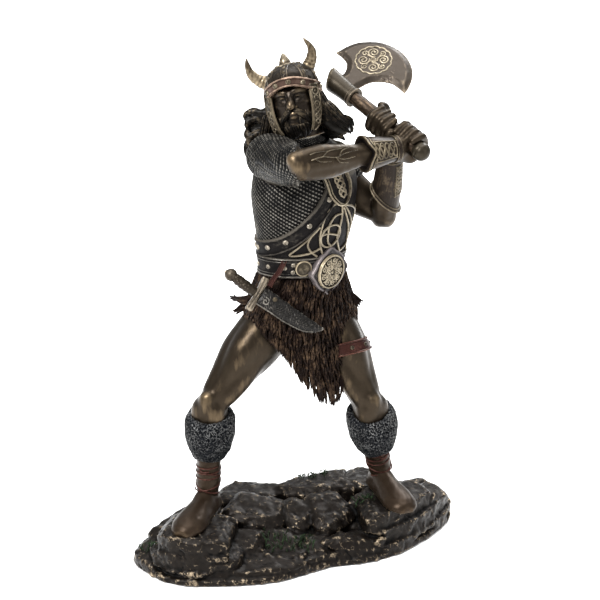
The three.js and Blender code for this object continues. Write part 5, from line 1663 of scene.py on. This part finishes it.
def hair_path(turn, rise, rows, rng, sway=0.0):
    """A lock's path down the rows round the head, rise millimetres outside them."""
    points = []
    for k, (wide, deep, middle, height) in enumerate(rows):
        b = math.radians(turn + sway * k / (len(rows) - 1))
        grow = rise + rng.uniform(-0.5, 0.5)
        points.append(((wide + grow) * math.sin(b), middle - (deep + grow) * math.cos(b), height))
    return in_head(points)


# Half width, half depth, centre y and height of each row round the head, from the roots down
MANE_ROWS = [(11.4, 13, 0.5, 3), (14.6, 16, 1, -7), (19.5, 18.4, 2.5, -16), (25, 19.8, 4.5, -22.5)]
BEARD_ROWS = [(10.6, 10.6, 0.5, -4), (10.6, 11.8, 0.3, -9), (8.4, 11.9, -0.4, -14), (5.6, 10.6, -0.8, -18.5)]
# Half the angle that each layer of the beard leaves free for the face
BEARD_GAPS = (34, 14, 0)
# The first lock of the left half of the moustache, and the step to each further one
MOUSTACHE = ([(0.5, -14, -6.7), (3.6, -13.6, -7.6), (6.4, -11.4, -10.8), (6.6, -10.4, -15)],
             [(0.5, 0.3, -0.35), (0.3, 0, -0.6), (0.2, 0, -0.6), (0.4, 0, -0.5)])
SIDE_CURLS = [
    [(8, -3, 262), (11.5, -2, 252), (16, 0, 246.5), (22, 1, 246.5), (27.5, 1.5, 245.5), (29.5, 1.5, 242.5)],
    [(9, 0, 256), (12.5, 1, 247), (18, 2, 243), (24, 2, 243), (28, 2, 241.5), (28.5, 2, 239)],
    [(6, 0, 250), (13, 2, 243), (19, 3, 240), (24, 3, 240.5), (27, 3, 238.5)],
    [(6, 1, 247), (12, 3, 240), (17, 4, 236.5), (22, 4, 236), (25, 4, 234)],
    [(10, 1, 260), (14, 3, 250), (18, 5, 243), (23, 6, 240), (27, 6, 239.5)],
    [(-8, -1, 257), (-18, -3, 249.5), (-23.5, -2, 250.5), (-28, -2, 248), (-27, -3, 245)],
    [(-8, -2, 252), (-18, -3, 246), (-23, -3, 246.5), (-27.5, -4, 243.5), (-25.5, -5, 241)],
    [(-7, 1, 248), (-19, 0, 243), (-25, -1, 241), (-27.5, -2, 237), (-25, -4, 235)],
    [(-6, 0, 244), (-17, -2, 240), (-23, -3, 238), (-26.5, -3, 233.5), (-25, -4, 231)],
    [(-5, 2, 241), (-19, 2, 238), (-26.5, 0, 233), (-27.5, -2, 228), (-26, -3, 225)],
    [(-10, -6, 256), (-13.5, -8, 249), (-17, -9, 243), (-20.5, -10, 240)],
]


def make_hair():
    rng = np.random.default_rng(21)
    core = Clay((-36, -24, 226), (36, 30, 275), 1.3)
    for turn in range(-100, 101, 12):
        core.chain(hair_path(180 + turn, -3.4, MANE_ROWS, rng), [3.5, 4.5, 5, 3], 2, 6)
    for curl in SIDE_CURLS:
        core.chain(curl, [1.8, 1.9, 1.5, 0.6], 1.0, 8)
    parts = [core.mesh()]
    for turn in np.arange(-112, 113, 9.3):
        for layer in range(2):
            sway = rng.uniform(-9, 9)
            *rows, last = MANE_ROWS[layer:]
            rows.append((*last[:3], last[3] - rng.uniform(-2.5, 3.5)))
            points = hair_path(180 + turn + 4 * layer, 0.6 + layer, rows, rng, sway)
            parts += lock(points, rng.uniform(2.0, 2.7), 8, rng, 11, thin=0.32)
    for curl in SIDE_CURLS:
        for shift in ((0, 0, 0), (0.4, 1.6, -1.4)):
            points = np.array(curl) + np.array(shift) * np.linspace(0.3, 1, len(curl))[:, None]
            parts += lock(points, rng.uniform(2.3, 2.8), 12, rng, 15, thin=0.24, wave=0.25)
    piece("hair", parts, HAIR, rounds=3)
    make_beard(rng)


def make_beard(rng):
    core = Clay((-18, -34, 226), (16, 14, 268), 0.9)
    for turn in range(-78, 79, 12):
        core.chain(hair_path(turn, -2.6, BEARD_ROWS, rng), [2.0, 2.8, 3.2, 2.0], 1.5, 6)
    parts = [core.mesh()]
    for layer, gap in enumerate(BEARD_GAPS):
        for turn in np.arange(-84, 85, 7.5) + 3 * layer:
            if abs(turn) < gap:
                continue
            rows = [list(row) for row in BEARD_ROWS[layer:]]
            rows[-1][3] -= rng.uniform(-1.0, 2.2) + 1.6 * math.cos(math.radians(turn))
            if len(rows) == 2:
                rows.insert(1, mix(rows[0], rows[1], 0.5))
            points = hair_path(turn, 0.1 + 0.5 * layer, rows, rng, rng.uniform(-8, 8))
            parts += lock(points, rng.uniform(1.35, 1.8), 5, rng, 9)
    for way in (-1, 1):
        for k in range(4):
            points = np.array(MOUSTACHE[0]) * (way, 1, 1) + np.array(MOUSTACHE[1]) * (way * k, k, k)
            parts += lock(in_head(points), 1.35, 5, rng, 9)
        for k in range(5):
            brow = [(2.2 + k * 1.1, -12.2 + 0.35 * k, 2.7 + 0.2 * math.sin(k)),
                    (3.6 + k * 1.1, -12.1 + 0.7 * k, 3.2 - 0.25 * k), (4.8 + k, -11.2 + 0.9 * k, 2.6 - 0.4 * k)]
            parts.append(strand(in_head(np.array(brow) * (way, 1, 1)), 0.5, 0.8, sides=6, steps=7))
    piece("beard", parts, HAIR, rounds=3)


make_hair()

# Axe: distances along the haft from its butt, and from the haft towards the cutting edge
BLADE = {
    "edge": [(81.6, 14.3), (79.6, 25.5), (73.5, 33.7), (66, 38.2), (56.5, 39.7), (47.5, 37.4), (40.6, 32.4),
             (36.4, 26.5), (34.1, 20.6)],
    "lower": [(34.1, 20.6), (39.5, 21), (45, 20.2), (49.6, 16.9), (52.8, 12.5), (54, 5)],
    "root": [(54, 0), (68, 0)],
    "upper": [(70, 1.5), (67.5, 6), (68.1, 9.2), (70.8, 12.6), (75, 14.2), (81.6, 14.3)],
}
# Metal sleeve that holds the blade. Its profile is (distance along the haft, share of the radius).
SLEEVE = {"from": 50.5, "to": 68, "radius": 5.3, "profile": (
    (50.5, 0.7), (50.5, 0.92), (51.5, 0.95), (56, 0.96), (60, 1.0), (64, 1.06), (68, 1.12), (69.6, 1.1),
    (70.4, 0.9), (70.6, 0.5))}
# Middle of the ring of scrolls on the blade
ORNAMENT = (62.1, 24.1)


def make_axe():
    outline = np.vstack([catmull(BLADE["edge"], 60)[:-1], catmull(BLADE["lower"], 26)[:-1], BLADE["root"],
                         catmull(BLADE["upper"], 30)[:-1]])
    low, high = outline.min(0) - 2, outline.max(0) + 2
    clay = Clay((*low, -3.4), (*high, 3.4), 0.5)
    clay.slab(outline, np.eye(4), 1.9, bevel=3.4, edge=0.35)
    blade = moved(displaced(clay.mesh(), blade_face), AXE_FRAME)
    piece("axe_blade", blade, AXE_METAL, "battle_axe", rounds=8)
    ornament = blade_ornament(-1) + blade_ornament(1)
    piece("axe_trim", ornament, BRASS, "battle_axe", rounds=3)
    bands = []
    for shift, radius, size in ((0.4, 5.0, 0.6), (2.4, 4.95, 0.35)):
        ring = np.column_stack([np.full(40, SLEEVE["from"] + shift), circle(40) * radius])
        bands.append(moved(cord(ring, size, closed=True), AXE_FRAME))
    piece("axe_bands", bands, AXE_METAL, "battle_axe", rounds=2)


def make_haft():
    a = full_turn(64)
    rows = []
    for x, share in SLEEVE["profile"]:
        beak = 2.7 * np.cos(a) * smooth_step(x, 60, SLEEVE["to"])
        rows.append(np.column_stack([x + beak, polar(SLEEVE["radius"] * share, a)]))
    sleeve_part = moved(patch(np.array(rows), closed_v=True, caps=True), AXE_FRAME)
    size = AXE["pommel"]
    ball = [(r * (1 - 0.05 * math.exp(-((math.acos(-h / size) - 1.57) / 0.1) ** 2)), h)
            for r, h in ball_profile(size, size, 40, 0.03)]
    pommel = lathe(ball, 48, AXE_FRAME @ np.array(turned(90, "Y")))
    piece("axe_sleeve", [sleeve_part, pommel], DARK_BRASS, "battle_axe", rounds=1)

    x, turn = np.broadcast_arrays(np.linspace(0.5, SLEEVE["to"], 170)[:, None], full_turn(52))
    grain = np.stack([x * 0.09, 3.2 * np.cos(turn), 3.2 * np.sin(turn)], -1)
    r = AXE["haft"] - 0.12 + 0.22 * noise(grain, 0.55, 71) + 0.12 * noise(grain, 0.28, 72)
    grid = np.concatenate([x[..., None], polar(r, turn)], -1)
    piece("haft", moved(patch(grid, closed_v=True, caps=True), AXE_FRAME), HAFT, "battle_axe", rounds=4)


def blade_ornament(face):
    """A ring of scrolls in raised cord on one face of the blade."""
    place = AXE_FRAME @ np.diag([1.0, face, face, 1.0])
    centre = np.array(ORNAMENT)

    def raised(path, radius, z, count=None, closed=False):
        return cord_on(place, np.asarray(path) * (1, face), radius, z, count, closed)

    a = full_turn(112)
    trim = [raised(centre + polar(9.3 * (1 + 0.055 * np.abs(np.cos(7 * a))), a), 0.5, 1.9, closed=True)]
    for turn in full_turn(4) + math.pi / 4:
        trim.append(raised(spiral(centre + polar(5.3, turn), 3.2, 1.9, turn + 2.9, 1, 46), 0.5, 1.95))
        trim.append(raised(spiral(centre + polar(6.6, turn + 0.78), 1.9, 1.4, turn + 3.6, -1, 30), 0.42, 1.95))
        petal = [centre, centre + polar(2.6, turn - 0.5), centre + polar(5.0, turn - 0.75)]
        trim.append(raised(petal, 0.5, 1.9, 14))
    hub = shifted(place, (*(centre * (1, face)), 1.6))
    trim.append(lathe([(1.7, -0.5), (1.7, 0.5), (1.0, 0.9), (0.02, 1.0)], 20, hub))
    return trim


def blade_face(points, normal):
    scratch = smooth_step(np.abs(noise(points * (0.2, 1.6, 1.0), 1.4, 62)), 0.06, 0.0)
    return 0.07 * rough(points, 3, 3, 61) - 0.25 * scratch * smooth_step(noise(points, 9, 63), 0.1, 0.5)


make_axe()
make_haft()

# Base: an oval plinth covered with overlapping slabs of rock, as in the solids
BASE = {"long": 98, "short": 50, "turn": 25, "notch_at": 268, "notch": 0.11}
# Top centre, half length, half width and depth, turn, tilts and corners of each slab
ROCKS = [
    [(-56, -41, 27), (23, 22, 20), 10, (0, 0), 10],
    [(57, -5, 27), (27, 25, 20), 20, (0, 0), 10],
    [(-24, -14, 25.5), (19, 14, 20), 5, (19, 3), 7],
    [(-30, 10, 25), (22, 14, 22), 25, (-3, 3), 7],
    [(0, -14, 22.5), (11, 12, 16), 10, (27, -4), 7],
    [(18, -12, 23.5), (15, 15, 17), 10, (26, 5), 7],
    [(10, 18, 27), (25, 14, 22), 20, (-2, -2), 7],
    [(36, 26, 26), (20, 15, 22), 25, (-7, 2), 7],
    [(-31, -36, 16), (15, 12, 12), 5, (22, -5), 6],
    [(-10, -31, 13.5), (15, 11, 10), 0, (24, 4), 6],
    [(10, -32, 11.5), (11, 10, 9), 30, (26, -9), 6],
    [(36, -27, 14), (22, 9, 11), 24, (20, 2), 6],
    [(-26, -48, 8.5), (32, 8, 6), 0, (14, -1), 7],
    [(-66, -14, 19), (20, 14, 16), 35, (-8, -8), 6],
    [(-82, -36, 9), (12, 14, 7), 20, (6, -12), 6],
    [(76, 16, 19.5), (14, 18, 16), -20, (-4, 10), 7],
    [(83, 22, 10.5), (13, 20, 9), -15, (-4, 10), 6],
    [(58, 36, 15), (20, 10, 12), 25, (-14, 0), 6],
    [(2, 34, 15), (26, 10, 12), 25, (-16, 0), 6],
    [(62, -22, 13), (20, 8, 9), 28, (20, 2), 6],
]
# Each slab's two layers: scale, start and thickness as shares of its depth, and bevel
ROCK_LAYERS = ((1.0, 0.0, 0.75, 4.4), (1.07, 0.6, 0.45, 3.2))
# Centre, spread and number of the pebbles in each heap
PEBBLES = [
    ((-16, -40, 7.5), (22, 6, 1.5), 46),
    ((-80, -30, 6.5), (8, 12, 2), 24),
    ((24, -36, 7), (16, 5, 1.5), 24),
    ((80, 2, 6), (8, 14, 2), 22),
    ((0, -24, 12), (30, 4, 2), 20),
]
# The slabs stand back from the rim in steps: a height, and how far above it the rim stands back
TERRACES = [(-2, 0), (9, 1.4), (17.5, 3.4)]


def base_outline(scale):
    a = full_turn(72)
    notch = BASE["notch"] * np.exp(-(((a - math.radians(BASE["notch_at"])) / 0.2) ** 2))
    r = scale * (1 - notch + 0.02 * (0.6 * np.sin(5 * a + 1) + 0.4 * np.sin(9 * a)))
    x, y = (polar(r, a) * (BASE["long"], BASE["short"])).T
    turn = math.radians(BASE["turn"])
    return np.stack([x * math.cos(turn) - y * math.sin(turn), x * math.sin(turn) + y * math.cos(turn)], -1)


def rock_outline(size, corners, seed):
    """An uneven polygon with rounded corners."""
    j = np.arange(corners)
    a = full_turn(corners) + 0.2 * np.sin(seed * 3 + j * 2.1)
    r = 1 + 0.12 * np.sin(seed * 5.3 + j * 2.7)
    return catmull(polar(r, a) * size, corners * 5, closed=True)


def add_slab(clay, seed, at, size, turn, tilt, corners):
    """A slab of rock in two layers, the lower one a little wider and shifted."""
    spin = Matrix.Translation(at) @ turned(turn, "Z") @ turned(tilt[1], "Y") @ turned(tilt[0], "X")
    for grow, start, share, bevel in ROCK_LAYERS:
        half = size[2] * share / 2
        way = 2.1 * seed + 2.6 * start
        place = shifted(np.array(spin), (*(polar(1.6 * start, way)), -size[2] * start - half))
        outline = rock_outline((size[0] * grow, size[1] * grow), corners, seed + start)
        clay.slab(outline, place, half, bevel=bevel, edge=max(half - bevel * 0.8, 0.4), blend=0.5)


def make_base():
    edge, inner_edge = base_outline(1), base_outline(0.94)
    clay = Clay((*(edge.min(0) - 3), -1), (*(edge.max(0) + 3), 31), 1.02)
    for scale, top in ((1.0, 4), (0.96, 7.5), (0.82, 9.5), (0.55, 13)):
        half = top / 2
        place = shifted(np.eye(4), (0, 0, half))
        clay.slab(base_outline(scale), place, half, bevel=1.2, edge=half - 0.6, blend=1)
    for seed, rock in enumerate(ROCKS, 1):
        add_slab(clay, seed, *rock)
    rng = np.random.default_rng(5)
    for centre, spread, count in PEBBLES:
        for _ in range(count):
            at = np.array(centre) + rng.uniform(-1, 1, 3) * spread
            if outline_distance(inner_edge, at[0], at[1]) <= 0:
                radii = rng.uniform(1.2, 2.6, 3)
                clay.egg(at, radii, frame_at(at, rng.normal(size=3), rng.normal(size=3)), 0.3)
    x, y, z = (axis.reshape(shape) for axis, shape in zip(clay.axes, ((-1, 1, 1), (1, -1, 1), (1, 1, -1))))
    rim = outline_distance(edge, x, y)
    clay.field = np.maximum(clay.field, -z)
    for k, (height, inset) in enumerate(TERRACES):
        ragged = 1.8 * noise(np.stack(np.broadcast_arrays(x, y, 40.0 * k), -1), 15, 91)
        wall = rim + inset + ragged * min(inset, 1)
        above = np.minimum(wall, z - height + 0.02 * inset)
        clay.field = np.maximum(clay.field, above.astype(np.float32))
    points, quads, tris = displaced(clay.mesh(), rock_face)
    points[:, 2] = np.maximum(points[:, 2], 0)
    piece("rocks", (points, quads, tris), ROCK, "rock_base", rounds=3)
    make_grass(rng, points)


def rock_face(points, normal):
    z, upright = points[:, 2], normal[:, 2]
    strata = noise(points * (0.1, 0.1, 1.0), 2.4, 81) * (1 - np.abs(upright))
    warped = wavered(points, 9, 82, 3.2)
    near, second = cells(warped * (1, 1, 0.6), 19, 85)
    crack = smooth_step(second - near, 0.035, 0.0) * smooth_step(noise(points, 16, 86), 0.0, 0.3)
    crest = smooth_step(np.abs(noise(warped, 5, 89)), 0.08, 0.0) * smooth_step(noise(points, 11, 90), -0.25, 0.1)
    broken = 0.7 * rough(points, 9, 3, 87) + 0.5 * rough(points, 3, 2, 88)
    amount = 0.24 * strata + broken - 0.9 * crack + 0.6 * crest
    flat = smooth_step(z, SOLE_Z - 1.2, SOLE_Z - 0.2) * smooth_step(upright, 0.8, 0.95)
    amount = amount * (1 - 0.75 * flat) - 0.1 * flat
    return np.where(z < 0.8, np.minimum(amount, 0) * 0.3, amount)


# Centre and spread of each tuft of grass, and its number of blades
GRASS_TUFTS = [((-5, -33), (14, 6), 110), ((-84, -35), (5, 5), 40), ((9, 24), (9, 5), 44), ((38, -8), (6, 3), 30)]


def make_grass(rng, rocks):
    edge = base_outline(1)
    parts = []
    for centre, spread, count in GRASS_TUFTS:
        for _ in range(count):
            x, y = np.array(centre) + rng.uniform(-1, 1, 2) * spread
            near = np.hypot(rocks[:, 0] - x, rocks[:, 1] - y) < 1.6
            if not near.any() or outline_distance(edge, x, y) > -3:
                continue
            root = np.array((x, y, rocks[near, 2].max() - 1))
            lean = rng.normal(0, 1.3, 2)
            height = rng.uniform(1.8, 3.6)
            points = [root, root + (*(lean * 0.3), height * 0.6), root + (*lean, height)]
            parts.append(strand(points, 0.42, sides=5, steps=5, lobes=2))
    piece("grass", parts, GRASS, "rock_base", rounds=2)


make_base()

# Floor and soft studio light
FLOOR = {"size": 6.0, "colour": (0.95, 0.95, 0.945)}
# Name, place and aim in metres, size in metres and power in watts
LIGHTS = [
    ("key", (-0.7, -0.9, 1.2), (0, 0, 0.15), 0.4, 34),
    ("top", (0.1, 0.1, 1.5), (0, 0, 0.15), 1.2, 28),
    ("fill", (1.2, -0.9, 0.6), (0, 0, 0.15), 0.8, 5),
    ("rim", (0.6, 1.0, 1.1), (0, 0, 0.15), 0.5, 14),
    ("backdrop", (0, 1.2, 1.6), (0, 3, 0), 2.0, 90),
]


def make_studio():
    bpy.ops.mesh.primitive_plane_add(size=FLOOR["size"])
    floor = bpy.context.object
    floor.name = "floor"
    material = bpy.data.materials.new("floor")
    material.use_nodes = True
    material.node_tree.nodes["Principled BSDF"].inputs["Base Color"].default_value = (*FLOOR["colour"], 1)
    material.node_tree.nodes["Principled BSDF"].inputs["Roughness"].default_value = 0.9
    floor.data.materials.append(material)
    scene = bpy.context.scene
    scene.view_settings.view_transform = "Standard"
    scene.world = scene.world or bpy.data.worlds.new("studio")
    scene.world.use_nodes = True
    background = scene.world.node_tree.nodes["Background"]
    background.inputs["Color"].default_value = (1, 1, 1, 1)
    background.inputs["Strength"].default_value = 0.55
    for name, place, aim, size, power in LIGHTS:
        light = bpy.data.lights.new(name, "AREA")
        light.size = size
        light.energy = power
        obj = bpy.data.objects.new(name, light)
        scene.collection.objects.link(obj)
        obj.location = place
        obj.rotation_euler = (Vector(aim) - Vector(place)).to_track_quat("-Z", "Y").to_euler()


make_studio()
